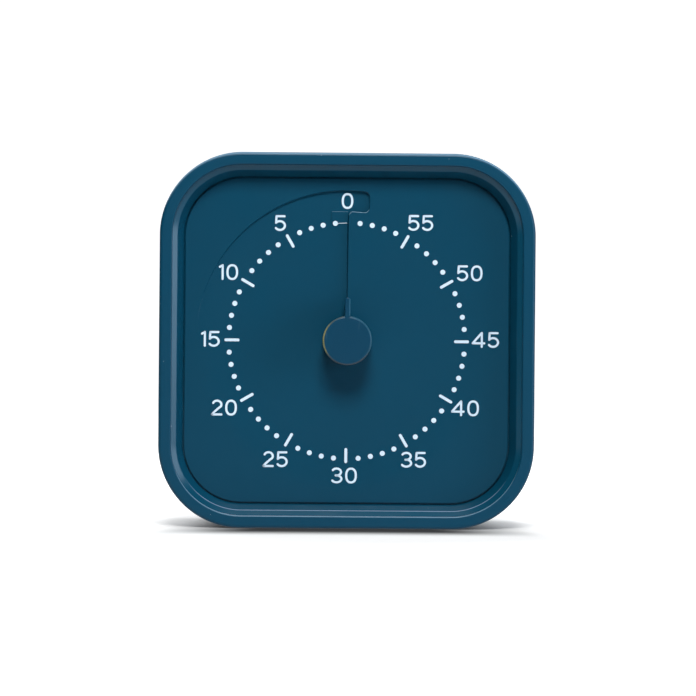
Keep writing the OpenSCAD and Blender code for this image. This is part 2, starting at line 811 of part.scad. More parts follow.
// A wheel with a thin web, its back face at z
module wheel(z) {
    rim_r = wheel_pitch_r - dedendum - 1;
    difference() {
        translate([0, 0, z]) linear_extrude(wheel_t) gear_outline(wheel_teeth);
        difference() {
            rod(rim_r, z - over, z + wheel_t / 2 - web_t / 2);
            rod(arbor_r + 1.2, z - 2 * over, z + wheel_t);
        }
        difference() {
            rod(rim_r, z + wheel_t / 2 + web_t / 2, z + wheel_t + over);
            rod(arbor_r + 1.9, z, z + wheel_t + 2 * over);
        }
    }
}

module centre_wheel() {
    color("white") place() difference() {
        wheel(wheel_z);
        rod(arbor_r + press_gap, wheel_z - over, wheel_z + wheel_t + over);
    }
}

module intermediate_wheel() {
    color("ivory") place() translate(intermediate_at) difference() {
        union() {
            wheel(second_wheel_z);
            translate([0, 0, second_wheel_z + wheel_t / 2]) rotate(180 / pinion_teeth)
                linear_extrude(wheel_z + wheel_t + pinion_extra - second_wheel_z - wheel_t / 2)
                    gear_outline(pinion_teeth);
        }
        rod(staff_r + press_gap, second_wheel_z - over, wheel_z + wheel_t + over);
    }
}

module intermediate_arbor() {
    color("silver") place() translate(intermediate_at)
        rod(staff_r, movement_in_z - pivot_depth + side_gap, plate_back_z + pivot_depth - side_gap);
}

module rotor_pinion() {
    color("ivory") place() translate(rotor_at) {
        rod(pivot_r, movement_in_z - pivot_depth + side_gap, plate_back_z + pivot_depth - side_gap);
        rod(magnet_r / 3, magnet_z - 0.3, second_wheel_z);
        translate([0, 0, second_wheel_z - 0.2]) rotate(180 / pinion_teeth)
            linear_extrude(wheel_t + 0.2 + pinion_extra) gear_outline(pinion_teeth);
    }
}

module rotor_magnet() {
    color("dimgray") place() translate(rotor_at) difference() {
        rod(magnet_r, magnet_z, magnet_z + magnet_h);
        rod(magnet_r / 3 + press_gap, magnet_z - over, magnet_z + magnet_h + over);
    }
}

// ---- stator and coil ----

coil_left = coil_mid_x - coil_len / 2;
coil_right = coil_mid_x + coil_len / 2;

module stator() {
    left = coil_left - core_end;
    right = coil_right + core_end;
    low = rotor_at.y - magnet_r - stator_low;
    top = coil_y + core_w / 2;
    color("darkgray") place() difference() {
        union() {
            block([left, low, stator_z], [left + arm_w, top, stator_z + stator_t]);
            block([left, low, stator_z], [right, rotor_at.y + magnet_r + stator_high, stator_z + stator_t]);
            block([right - arm_w, low, stator_z], [right, top, stator_z + stator_t]);
        }
        translate(rotor_at) rod(magnet_r + 0.4, stator_z - over, stator_z + stator_t + over);
        for (p = stator_posts()) translate(p)
            rod(0.8 + side_gap, stator_z - over, stator_z + stator_t + over);
    }
}

function stator_posts() = [
    for (x = [coil_left - core_end + arm_w / 2, coil_right + core_end - arm_w / 2])
        [x, (rotor_at.y + coil_y) / 2, 0]
];

module coil_core() {
    color("gray") place()
        block([coil_left - core_end, coil_y - core_w / 2, core_z],
              [coil_right + core_end, coil_y + core_w / 2, core_z + core_h]);
}

// A round part along the coil's axis
module coil_rod(r, x0, x1) {
    translate([x0, coil_y, coil_mid_z]) rotate([0, 90, 0]) cylinder(r = r, h = x1 - x0);
}

sleeve_r = 1.9;

module coil_bobbin() {
    color("seashell") place() difference() {
        union() {
            coil_rod(sleeve_r, coil_left, coil_right);
            coil_rod(coil_r + 0.4, coil_left, coil_left + flange_t);
            coil_rod(coil_r + 0.4, coil_right - flange_t, coil_right);
        }
        block([coil_left - over, coil_y - core_w / 2 - side_gap, core_z - side_gap / 2],
              [coil_right + over, coil_y + core_w / 2 + side_gap, core_z + core_h + side_gap]);
    }
}

module coil_winding() {
    color("peru") place() difference() {
        coil_rod(coil_r, coil_left + flange_t + seat_gap, coil_right - flange_t - seat_gap);
        coil_rod(sleeve_r + press_gap, coil_left, coil_right);
    }
}

// ---- movement housing ----

module movement_plate() {
    color("#1c1c1e") place() difference() {
        union() {
            tile(movement_half, movement_half, movement_corner_r, plate_back_z, plate_z);
            rod(spigot_r, plate_back_z, chamber_floor_z);
        }
        rod(bush_r + press_gap, plate_back_z - over, chamber_floor_z + over);
        translate(intermediate_at)
            rod(staff_r + pivot_gap, plate_back_z - over, plate_back_z + pivot_depth);
        translate(rotor_at) rod(pivot_r + pivot_gap, plate_back_z - over, plate_back_z + pivot_depth);
        at_corners(movement_screw_at)
            rod(small_screw_r + side_gap, plate_back_z - over, plate_z + over);
    }
}

module movement_cover() {
    wall_half = movement_half - movement_wall;
    color("#1c1c1e") place() difference() {
        union() {
            difference() {
                tile(movement_half, movement_half, movement_corner_r, movement_back_z,
                     plate_back_z - seat_gap);
                tile(wall_half, wall_half, movement_corner_r - movement_wall, movement_in_z, plate_z);
            }
            at_corners(movement_screw_at)
                rod(movement_tube_r, movement_back_z, plate_back_z - seat_gap);
            for (p = stator_posts()) translate(p) {
                rod(1.6, movement_in_z - over / 2, stator_z - seat_gap);
                rod(0.8, movement_in_z - over / 2, stator_z + stator_t);
            }
        }
        rod(arbor_r / 2 + pivot_gap, movement_in_z - pivot_depth, movement_in_z + over);
        translate(intermediate_at)
            rod(staff_r + pivot_gap, movement_in_z - pivot_depth, movement_in_z + over);
        translate(rotor_at) rod(pivot_r + pivot_gap, movement_in_z - pivot_depth, movement_in_z + over);
        at_corners(movement_screw_at) {
            rod(small_screw_r + side_gap, movement_back_z - over, plate_back_z + over);
            rod(small_head[0] + side_gap, movement_back_z - over, movement_back_z + small_head[1] + 0.1);
        }
    }
}

module movement_screws() {
    seat = movement_back_z + small_head[1] + 0.1 - seat_gap;
    color("silver") place() at_corners(movement_screw_at)
        screw(small_screw_r, small_head, seat, bulkhead_back_z + small_screw_in);
}

// ---- electronics ----

module circuit_board() {
    color("darkgreen") place() difference() {
        translate([0, board_y, 0]) tile(board_w / 2, board_h / 2, 1, board_back_z, board_z);
        for (p = post_places()) translate(p)
            rod(small_screw_r + side_gap, board_back_z - over, board_z + over);
    }
}

module board_screws() {
    color("silver") place() for (p = post_places()) translate(p)
        translate([0, 0, board_z + seat_gap]) rotate([180, 0, 0])
            screw(small_screw_r, small_head, 0, board_t + board_screw_in);
}

module control_chip() {
    chip_r = 4;
    chip_h = 1.5;
    chip_at = [-8, board_y + 4];
    ball_r = (chip_r * chip_r + chip_h * chip_h) / (2 * chip_h);
    color("#1c1c1e") place() translate([chip_at[0], chip_at[1], board_z + seat_gap]) intersection() {
        translate([0, 0, chip_h - ball_r]) sphere(ball_r);
        rod(chip_r, 0, chip_h);
    }
}

module quartz_crystal() {
    crystal_r = 1.5;
    crystal_len = 8;
    crystal_at = [4, board_y + 6];
    color("silver") place()
        translate([crystal_at[0], crystal_at[1], board_z + crystal_r + seat_gap]) rotate([0, 90, 0])
            cylinder(r = crystal_r, h = crystal_len);
}

module buzzer() {
    color("#222222") place() translate(buzzer_at) difference() {
        rod(buzzer_r, panel_in_z + buzzer_gap, board_back_z - seat_gap);
        rod(buzzer_port[0], panel_in_z, panel_in_z + buzzer_gap + buzzer_port[1]);
    }
}

module switch_body() {
    color("#303033") place() translate([switch_at.x + slider_travel / 2, switch_at.y, 0])
        tile(switch_size[0] / 2, switch_size[1] / 2, 0.5, board_back_z - switch_size[2],
             board_back_z - seat_gap);
}

module alert_slider() {
    foot_front_z = board_back_z - switch_size[2] - side_gap;
    color("#2c5f80") place() translate(switch_at) {
        tile(slider_foot[0] / 2, slider_foot[1] / 2, 0.4, foot_front_z - slider_foot[2], foot_front_z);
        tile(slider_size[0] / 2, slider_size[1] / 2, 0.6, case_back_z - slider_proud, foot_front_z);
    }
}

// ---- battery ----

module battery_cell() {
    color("#c9a227") place() translate([cell_right - cell_len, -cell_drop, cell_z]) rotate([0, 90, 0]) {
        cylinder(r = cell_r, h = cell_len - cell_nub_h);
        cylinder(r = cell_nub_r, h = cell_len);
    }
}

// A contact plate with a tail that runs up to the circuit board. Its outer face is at x.
module contact_plate(x) {
    block([x, -cell_drop - contact_w / 2, cell_z - contact_w / 2],
          [x + contact_t, -cell_drop + contact_w / 2, cell_z + contact_w / 2]);
    block([x, -cell_drop, board_back_z - tail_w],
          [x + contact_t, board_y - board_h / 2 + tail_w, board_back_z - seat_gap]);
}

module contact_positive() {
    color("lightgray") place() contact_plate(bay_half_len - cell_gap - contact_t);
}

module contact_negative() {
    plate_x = -bay_half_len + cell_gap;
    start_x = plate_x + contact_t;
    end_x = cell_right - cell_len - cell_gap - spring_wire_r;
    count = spring_turns * spring_steps;
    path = [
        for (i = [0:count]) let (t = i / count, a = t * spring_turns * 360,
                                 r = spring_base_r + (spring_tip_r - spring_base_r) * t)
            [start_x + (end_x - start_x) * t, -cell_drop + r * cos(a), cell_z + r * sin(a)]
    ];
    color("lightgray") place() {
        contact_plate(plate_x);
        wire(path, spring_wire_r, spring_sides);
    }
}

module battery_door() {
    rib_len = 10;
    rib_h = 0.4;
    color("#194459") place() translate([0, -cell_drop, 0]) {
        tile(bay_half_len + door_edge - door_gap, bay_half_h + door_edge - door_gap,
             bay_wall - door_gap, case_back_z, door_in_z);
        for (y = [-1:1]) translate([0, bay_half_h / 2 + y * 1.6, 0])
            tile(rib_len / 2, 0.4, 0.39, case_back_z - rib_h, case_back_z + door_t / 2);
    }
}

module case_screws() {
    seat = boss_back_z - shelf_t - seat_gap;
    color("silver") place() at_corners(screw_at)
        screw(case_screw_r, case_head, seat, boss_back_z + case_screw_in);
}

silicone_cover();
front_case();
rear_case();
dial_face();
timer_disk();
knob();
arbor();
arbor_bush();
arbor_clip();
clutch_spring();
centre_wheel();
intermediate_wheel();
intermediate_arbor();
rotor_pinion();
rotor_magnet();
stator();
coil_core();
coil_bobbin();
coil_winding();
movement_plate();
movement_cover();
movement_screws();
circuit_board();
control_chip();
quartz_crystal();
board_screws();
buzzer();
switch_body();
alert_slider();
battery_cell();
contact_positive();
contact_negative();
battery_door();
case_screws();
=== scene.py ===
"""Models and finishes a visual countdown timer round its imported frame."""

import json
import math
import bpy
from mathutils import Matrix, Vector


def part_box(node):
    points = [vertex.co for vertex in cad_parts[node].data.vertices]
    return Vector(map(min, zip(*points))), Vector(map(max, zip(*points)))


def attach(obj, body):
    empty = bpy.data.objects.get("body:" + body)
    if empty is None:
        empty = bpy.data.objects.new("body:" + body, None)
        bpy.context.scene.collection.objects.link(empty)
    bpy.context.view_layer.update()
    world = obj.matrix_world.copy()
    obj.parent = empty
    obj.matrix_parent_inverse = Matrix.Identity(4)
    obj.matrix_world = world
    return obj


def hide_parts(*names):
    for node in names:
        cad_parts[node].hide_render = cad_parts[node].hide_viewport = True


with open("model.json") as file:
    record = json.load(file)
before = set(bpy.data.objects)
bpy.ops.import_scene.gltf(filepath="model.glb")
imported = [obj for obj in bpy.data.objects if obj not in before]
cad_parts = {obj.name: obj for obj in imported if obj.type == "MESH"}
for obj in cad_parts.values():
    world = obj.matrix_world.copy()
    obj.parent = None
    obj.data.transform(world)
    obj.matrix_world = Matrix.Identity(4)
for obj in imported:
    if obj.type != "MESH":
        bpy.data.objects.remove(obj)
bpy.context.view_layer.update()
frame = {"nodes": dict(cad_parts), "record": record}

from types import SimpleNamespace

import bmesh
import bpy
from bpy.props import FloatProperty, IntProperty, PointerProperty
from mathutils import Matrix, Vector

bl_info = {
    "name": "Visual Countdown Timer",
    "version": (1, 0, 0),
    "blender": (4, 5, 0),
    "location": "View3D > Sidebar > Timer",
    "description": "Models the case, dial, knob and disk of a countdown timer and sets up its studio",
    "category": "Add Mesh",
}

MM = 0.001
MERGE = 0.0005                     # points closer than this, in millimetres, become one
OVER = 0.1                         # how far a cutter reaches past what it cuts
APART = 0.01                       # keeps faces that would lie in one plane apart
QUARTER = math.pi / 2

# The pieces are modelled lying on their back, in millimetres: X to the right, Y up the dial and
# Z out of the dial, from the rim plane. STAND sets them upright in the frame.
cover_low, cover_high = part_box("silicone_cover")
STAND = (
    Matrix.Translation((0, cover_low.y, (cover_low.z + cover_high.z) / 2))
    @ Matrix.Rotation(QUARTER, 4, "X")
    @ Matrix.Scale(MM, 4)
)


def lying_box(node):
    """Lowest and highest corner of a frame node in the modelling position, in millimetres."""
    corners = [STAND.inverted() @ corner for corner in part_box(node)]
    low = Vector([min(c[i] for c in corners) for i in range(3)])
    high = Vector([max(c[i] for c in corners) for i in range(3)])
    return low, high


# ---- settings ----

class CoverSettings(bpy.types.PropertyGroup):
    """Sizes of the soft cover"""

    corner_radius: FloatProperty(
        name="Corner radius", description="Radius of the outline's corners",
        default=20.3 * MM, unit="LENGTH")
    front_edge: FloatProperty(
        name="Front edge", description="Rounding of the front outer edge",
        default=0.9 * MM, unit="LENGTH")
    rear_edge: FloatProperty(
        name="Rear edge", description="Rounding of the rear outer edge",
        default=1.5 * MM, unit="LENGTH")
    lip_edge: FloatProperty(
        name="Lip edge", description="Rounding of the lips' inner edges",
        default=0.36 * MM, unit="LENGTH")
    lip_thickness: FloatProperty(
        name="Lip thickness", description="Thickness of both lips",
        default=1.0 * MM, unit="LENGTH")
    front_lip: FloatProperty(
        name="Front lip", description="Width of the lip over the rim",
        default=3.1 * MM, unit="LENGTH")
    rear_lip: FloatProperty(
        name="Rear lip", description="Width of the lip round the back",
        default=4.0 * MM, unit="LENGTH")
    wall: FloatProperty(
        name="Wall", description="Thickness of the cover round the sides",
        default=1.6 * MM, unit="LENGTH")
    corner_steps: IntProperty(
        name="Corner steps", description="Steps in each corner of the outline",
        default=48, min=8, max=96)


class BezelSettings(bpy.types.PropertyGroup):
    """Sizes of the front case's bezel"""

    band: FloatProperty(
        name="Band width", description="Width of the sloped band inside the cover's lip",
        default=1.3 * MM, unit="LENGTH")
    drop: FloatProperty(
        name="Band drop", description="How far the band slopes down to its crest",
        default=0.9 * MM, unit="LENGTH")
    draft: FloatProperty(
        name="Wall draft", description="How far the wall leans in from the crest to the dial",
        default=1.35 * MM, unit="LENGTH")
    crest_edge: FloatProperty(
        name="Crest edge", description="Rounding of the crest between band and wall",
        default=0.6 * MM, unit="LENGTH")
    case_wall: FloatProperty(
        name="Case wall", description="Thickness of the case's side wall",
        default=1.6 * MM, unit="LENGTH")
    bulkhead: FloatProperty(
        name="Bulkhead", description="Thickness of the wall behind the dial",
        default=3.0 * MM, unit="LENGTH")
    tongue: FloatProperty(
        name="Tongue", description="How far the rear case's tongue reaches into the front case",
        default=3.0 * MM, unit="LENGTH")
    boss_place: FloatProperty(
        name="Boss place", description="Distance of each screw boss from the middle, both ways",
        default=33.5 * MM, unit="LENGTH")
    boss_radius: FloatProperty(
        name="Boss radius", description="Radius of a screw boss",
        default=3.4 * MM, unit="LENGTH")


class DialSettings(bpy.types.PropertyGroup):
    """Sizes of the dial"""

    pitch: FloatProperty(
        name="Pitch", description="Height that the dial climbs in one turn",
        default=1.0 * MM, unit="LENGTH")
    sheet: FloatProperty(
        name="Sheet", description="Thickness of the dial over the disk",
        default=0.5 * MM, unit="LENGTH")
    plate: FloatProperty(
        name="Plate", description="Thickness of the dial outside the disk's chamber",
        default=1.2 * MM, unit="LENGTH")
    recess_radius: FloatProperty(
        name="Recess radius", description="Radius of the spiral recess",
        default=37.0 * MM, unit="LENGTH")
    recess_span: FloatProperty(
        name="Recess span", description="Angle in which the recess runs out",
        default=math.radians(90), unit="ROTATION")
    pocket_radius: FloatProperty(
        name="Pocket radius", description="Inner radius of the pocket under the zero",
        default=31.9 * MM, unit="LENGTH")
    pocket_width: FloatProperty(
        name="Pocket width", description="How far the pocket reaches to the right",
        default=5.35 * MM, unit="LENGTH")
    pocket_corner: FloatProperty(
        name="Pocket corner", description="Corner radius of the pocket",
        default=1.3 * MM, unit="LENGTH")
    edge: FloatProperty(
        name="Edge", description="Rounded edge of the pocket and the recess",
        default=0.2 * MM, unit="LENGTH")
    land_edge: FloatProperty(
        name="Land edge", description="Rounded edge of the small land",
        default=0.12 * MM, unit="LENGTH")
    slot_flare: FloatProperty(
        name="Slot flare", description="How far the slot's right side leans out at the top",
        default=0.1 * MM, unit="LENGTH")
    slot_radius: FloatProperty(
        name="Slot end", description="Radius at which the slot ends",
        default=29.0 * MM, unit="LENGTH")
    slot_left: FloatProperty(
        name="Slot left", description="Left side of the slot",
        default=-0.1 * MM, unit="LENGTH")
    slot_right: FloatProperty(
        name="Slot right", description="Right side of the slot",
        default=0.06 * MM, unit="LENGTH")
    land_width: FloatProperty(
        name="Land width", description="Width of the small land left of the slot's end",
        default=3.95 * MM, unit="LENGTH")
    land_height: FloatProperty(
        name="Land height", description="Height of the land over the recess",
        default=0.25 * MM, unit="LENGTH")
    chamber_radius: FloatProperty(
        name="Chamber radius", description="Inner radius of the wall round the disk",
        default=26.4 * MM, unit="LENGTH")
    chamber_wall: FloatProperty(
        name="Chamber wall", description="Thickness of the wall round the disk",
        default=4.1 * MM, unit="LENGTH")
    hole_radius: FloatProperty(
        name="Hole radius", description="Radius of the hole round the disk's hub",
        default=4.8 * MM, unit="LENGTH")


class PrintSettings(bpy.types.PropertyGroup):
    """Sizes of the print on the dial"""

    dot_ring: FloatProperty(
        name="Dot ring", description="Radius of the ring of minute dots",
        default=29.1 * MM, unit="LENGTH")
    dot_radius: FloatProperty(
        name="Dot radius", description="Radius of a minute dot",
        default=0.62 * MM, unit="LENGTH")
    tick_inner: FloatProperty(
        name="Tick inner end", description="Radius at which a five-minute tick starts",
        default=26.45 * MM, unit="LENGTH")
    tick_outer: FloatProperty(
        name="Tick outer end", description="Radius at which a five-minute tick ends",
        default=30.15 * MM, unit="LENGTH")
    tick_width: FloatProperty(
        name="Tick width", description="Width of a five-minute tick",
        default=0.7 * MM, unit="LENGTH")
    stroke: FloatProperty(
        name="Stroke", description="Width of a stroke of the numbers",
        default=0.53 * MM, unit="LENGTH")
    digit_gap: FloatProperty(
        name="Digit gap", description="Space between the digits of a number",
        default=0.66 * MM, unit="LENGTH")
    edge_line: FloatProperty(
        name="Edge line", description="Width of the thin line beside the slot's end",
        default=0.14 * MM, unit="LENGTH")
    ink: FloatProperty(
        name="Ink", description="Thickness of the ink",
        default=0.04 * MM, unit="LENGTH")


class KnobSettings(bpy.types.PropertyGroup):
    """Sizes of the knob and its pointer"""

    edge: FloatProperty(
        name="Edge", description="Rounding of the knob's front edge",
        default=0.6 * MM, unit="LENGTH")
    pointer_width: FloatProperty(
        name="Pointer width", description="Thickness of the pointer fin",
        default=1.25 * MM, unit="LENGTH")
    pointer_edge: FloatProperty(
        name="Pointer edge", description="Broken edge of the pointer",
        default=0.2 * MM, unit="LENGTH")
    hollow_radius: FloatProperty(
        name="Hollow radius", description="Radius of the hollow over the disk's hub",
        default=4.9 * MM, unit="LENGTH")
    hollow_depth: FloatProperty(
        name="Hollow depth", description="Depth of the hollow over the disk's hub",
        default=1.0 * MM, unit="LENGTH")


class StudioSettings(bpy.types.PropertyGroup):
    """Camera and light"""

    camera_distance: FloatProperty(
        name="Camera distance", description="From the rim to the camera",
        default=700 * MM, unit="LENGTH")
    camera_side: FloatProperty(
        name="Camera side", description="How far the camera stands to the left of the dial's axis",
        default=11 * MM, unit="LENGTH")
    camera_roll: FloatProperty(
        name="Camera roll", description="Roll of the camera about its view",
        default=math.radians(0.48), unit="ROTATION")
    lens: FloatProperty(
        name="Lens", description="Focal length in millimetres on a 36 mm sensor",
        default=148.2, min=20, max=300)
    aim_right: FloatProperty(
        name="Aim right", description="Where the view crosses the rim plane, right of the centre",
        default=0.22 * MM, unit="LENGTH")
    aim_down: FloatProperty(
        name="Aim down", description="Where the view crosses the rim plane, below the centre",
        default=1.77 * MM, unit="LENGTH")
    key_power: FloatProperty(
        name="Key light", description="Power of the main light in watts",
        default=7.0, min=0, max=100)
    top_power: FloatProperty(
        name="Overhead light", description="Power of the softbox overhead in watts",
        default=1.2, min=0, max=100)
    fill_power: FloatProperty(
        name="Fill light", description="Power of the softbox on the right in watts",
        default=4.2, min=0, max=100)
    back_power: FloatProperty(
        name="Back light", description="Power of the softbox behind the timer in watts",
        default=5.0, min=0, max=100)
    room_light: FloatProperty(
        name="Room light", description="Strength of the light from all round",
        default=0.03, min=0, max=2)


def in_mm(group):
    """Reads a settings group, with its lengths in millimetres."""
    sizes = {}
    for name, prop in group.bl_rna.properties.items():
        if name not in {"rna_type", "name"}:
            value = getattr(group, name)
            sizes[name] = value / MM if prop.unit == "LENGTH" else value
    return SimpleNamespace(**sizes)


# ---- bench work: selecting, drawing, sweeping, joining ----

def put_down():
    """Leaves edit mode and selects nothing."""
    if bpy.context.mode != "OBJECT":
        bpy.ops.object.mode_set(mode="OBJECT")
    bpy.ops.object.select_all(action="DESELECT")


def pick_up(obj):
    """Makes obj the one selected, active object."""
    put_down()
    obj.select_set(True)
    bpy.context.view_layer.objects.active = obj


def open_mesh(obj, kind="VERT"):
    """Opens obj in edit mode with nothing selected."""
    pick_up(obj)
    bpy.ops.object.mode_set(mode="EDIT")
    bpy.ops.mesh.select_mode(type=kind)
    bpy.ops.mesh.select_all(action="DESELECT")


def select_points(test):
    """Adds to the selection the open mesh's vertices whose place passes the test."""
    obj = bpy.context.edit_object
    mesh = bmesh.from_edit_mesh(obj.data)
    for vert in mesh.verts:
        if test(vert.co):
            vert.select = True
    mesh.select_flush_mode()
    bmesh.update_edit_mesh(obj.data)


def move_points(rule):
    """Moves every vertex of the open mesh to where the rule says."""
    obj = bpy.context.edit_object
    mesh = bmesh.from_edit_mesh(obj.data)
    for vert in mesh.verts:
        vert.co = rule(vert.co)
    bmesh.update_edit_mesh(obj.data)


def drag(x, y, z):
    """Extrudes what is selected by x, y, z."""
    bpy.ops.mesh.extrude_region_move(TRANSFORM_OT_translate={"value": (x, y, z)})


def draw(name, points):
    """Draws a face through points, one after the other, and leaves it open and selected."""
    put_down()
    bpy.ops.mesh.primitive_plane_add(size=1)
    obj = bpy.context.object
    obj.name = name
    bpy.ops.object.mode_set(mode="EDIT")
    bpy.ops.mesh.select_all(action="SELECT")
    bpy.ops.mesh.merge(type="CENTER")
    bpy.ops.transform.translate(value=points[0])
    for here, there in zip(points, points[1:]):
        drag(*(after - before for before, after in zip(here, there)))
    bpy.ops.mesh.select_all(action="SELECT")
    bpy.ops.mesh.edge_face_add()
    return obj


def draw_face(name, corners, steps=6):
    """Draws a face in the XZ plane. Each corner is (x, z) or (x, z, rounding)."""
    obj = draw(name, [(corner[0], 0, corner[1]) for corner in corners])
    for i, corner in enumerate(corners):
        if len(corner) == 3:
            round_corner(corners, i, steps)
    return obj


def round_corner(corners, i, steps):
    """Rounds corner i of the drawn face with its own radius."""
    here = Vector(corners[i][:2])
    back = (Vector(corners[i - 1][:2]) - here).normalized()
    ahead = (Vector(corners[(i + 1) % len(corners)][:2]) - here).normalized()
    reach = corners[i][2] / math.tan(back.angle(ahead) / 2)
    bpy.ops.mesh.select_all(action="DESELECT")
    place = Vector((here.x, 0, here.y))
    select_points(lambda co: (co - place).length < MERGE)
    bpy.ops.mesh.bevel(offset=reach, segments=steps, profile=0.5, affect="VERTICES")


def grown(points, width):
    """An anticlockwise closed outline, moved outwards by a width."""
    result = []
    for i, here in enumerate(points):
        back = (here - points[i - 1]).normalized()
        ahead = (points[(i + 1) % len(points)] - here).normalized()
        side = Vector((back.y, -back.x)) + Vector((ahead.y, -ahead.x))
        result.append(here + side * (2 * width / side.length_squared))
    return result


def drop_face():
    """Turns the drawn face into its outline and selects it."""
    bpy.ops.mesh.select_all(action="SELECT")
    bpy.ops.mesh.delete(type="ONLY_FACE")
    bpy.ops.mesh.select_all(action="SELECT")


def spin(steps, angle):
    """Turns what is selected about the Z axis, anticlockwise seen from the front."""
    bpy.ops.mesh.spin(steps=steps, angle=-angle, center=(0, 0, 0), axis=(0, 0, 1))


def face_outwards():
    """Turns the faces of the open mesh outwards."""
    bpy.ops.mesh.select_all(action="SELECT")
    bpy.ops.mesh.normals_make_consistent(inside=False)


def weld():
    """Merges the seam of a swept mesh and turns its faces outwards."""
    bpy.ops.mesh.select_all(action="SELECT")
    bpy.ops.mesh.remove_doubles(threshold=MERGE)
    face_outwards()


def sweep_round(centre, steps):
    """Runs the drawn outline round a rounded square whose corners turn about (centre, centre)."""
    drop_face()
    bpy.ops.transform.translate(value=(0, -centre, 0))
    for side in range(4):
        turn = Matrix.Rotation(side * QUARTER, 4, "Z")
        drag(*(turn @ Vector((0, 2 * centre, 0))))
        bpy.ops.mesh.spin(steps=steps, angle=-QUARTER, center=turn @ Vector((centre, centre, 0)),
                          axis=(0, 0, 1))
    weld()
    put_down()


def lathe(obj, steps=128):
    """Turns the drawn outline once round the Z axis. An outline that touches the axis is closed there."""
    drop_face()
    bpy.ops.mesh.select_mode(type="EDGE")
    bpy.ops.mesh.select_all(action="DESELECT")
    mesh = bmesh.from_edit_mesh(obj.data)
    for edge in mesh.edges:
        edge.select = all(abs(v.co.x) < MERGE for v in edge.verts)
    bmesh.update_edit_mesh(obj.data)
    bpy.ops.mesh.delete(type="EDGE")
    bpy.ops.mesh.select_mode(type="VERT")
    bpy.ops.mesh.select_all(action="SELECT")
    spin(steps, 2 * math.pi)
    weld()
    put_down()


def plate(name, half_x, half_y, radius, z0, z1, steps=24):
    """A plate with rounded corners between two heights."""
    put_down()
    bpy.ops.mesh.primitive_plane_add(size=2, location=(0, 0, z0))
    obj = bpy.context.object
    obj.name = name
    obj.scale = (half_x, half_y, 1)
    bpy.ops.object.transform_apply(location=True, rotation=True, scale=True)
    bpy.ops.object.mode_set(mode="EDIT")
    bpy.ops.mesh.select_all(action="SELECT")
    if radius:
        bpy.ops.mesh.bevel(offset=radius, segments=steps, profile=0.5, affect="VERTICES")
    bpy.ops.mesh.select_all(action="SELECT")
    drag(0, 0, z1 - z0)
    weld()
    put_down()
    return obj


def rod(name, radius, z0, z1, place=(0, 0), steps=64):
    """A plain round bar between two heights."""
    put_down()
    bpy.ops.mesh.primitive_circle_add(vertices=steps, radius=radius, fill_type="NGON",
                                      location=(place[0], place[1], z0))
    obj = bpy.context.object
    obj.name = name
    bpy.ops.object.transform_apply(location=True, rotation=True, scale=True)
    bpy.ops.object.mode_set(mode="EDIT")
    bpy.ops.mesh.select_all(action="SELECT")
    drag(0, 0, z1 - z0)
    weld()
    put_down()
    return obj


def block(name, low, high):
    """A plain block between two corners."""
    middle = (Vector(low) + Vector(high)) / 2
    obj = plate(name, (high[0] - low[0]) / 2, (high[1] - low[1]) / 2, 0, low[2], high[2])
    pick_up(obj)
    bpy.ops.transform.translate(value=(middle.x, middle.y, 0))
    bpy.ops.object.transform_apply(location=True, rotation=True, scale=True)
    return obj


def copy_of(pattern, place):
    """A copy with its own mesh, moved to its place."""
    copy = pattern.copy()
    copy.data = pattern.data.copy()
    copy.data.transform(place)
    bpy.context.collection.objects.link(copy)
    return copy


def four_of(pattern):
    """Turns one pattern into four, a quarter turn apart, as one object."""
    turns = [Matrix.Rotation(side * QUARTER, 4, "Z") for side in (1, 2, 3)]
    return join([pattern, *(copy_of(pattern, turn) for turn in turns)])


def join(pieces):
    """Joins pieces into the first one."""
    put_down()
    for piece in pieces:
        piece.select_set(True)
    bpy.context.view_layer.objects.active = pieces[0]
    bpy.ops.object.join()
    return pieces[0]


def combine(obj, tool, operation):
    """Cuts tool out of obj, or joins it to obj, and uses the tool up."""
    pick_up(obj)
    modifier = obj.modifiers.new(operation.lower(), "BOOLEAN")
    modifier.operation = operation
    modifier.object = tool
    modifier.solver = "EXACT"
    bpy.ops.object.modifier_apply(modifier=modifier.name)
    bpy.data.objects.remove(tool)
    return obj


def break_edges(obj, width, segments=2, angle=40):
    """Rounds the sharp edges of obj."""
    pick_up(obj)
    modifier = obj.modifiers.new("edges", "BEVEL")
    modifier.width = width
    modifier.segments = segments
    modifier.limit_method = "ANGLE"
    modifier.angle_limit = math.radians(angle)
    bpy.ops.object.modifier_apply(modifier=modifier.name)


def set_up(obj, material, angle=35):
    """Smooths a finished piece, stands it in the frame and gives it its material."""
    pick_up(obj)
    bpy.ops.object.shade_smooth_by_angle(angle=math.radians(angle))
    modifier = obj.modifiers.new("normals", "WEIGHTED_NORMAL")
    modifier.keep_sharp = True
    bpy.ops.object.modifier_apply(modifier=modifier.name)
    obj.matrix_world = STAND @ obj.matrix_world
    bpy.ops.object.transform_apply(location=True, rotation=True, scale=True)
    obj.data.materials.clear()
    obj.data.materials.append(material)
    return obj


# ---- shader groups and materials ----

def add_node(tree, kind, inputs=None, **settings):
    """Adds a node. An input's value is a number, a colour or the socket to link."""
    node = tree.nodes.new(kind)
    for name, value in settings.items():
        setattr(node, name, value)
    for socket, value in (inputs or {}).items():
        if isinstance(value, bpy.types.NodeSocket):
            tree.links.new(value, node.inputs[socket])
        else:
            node.inputs[socket].default_value = value
    return node


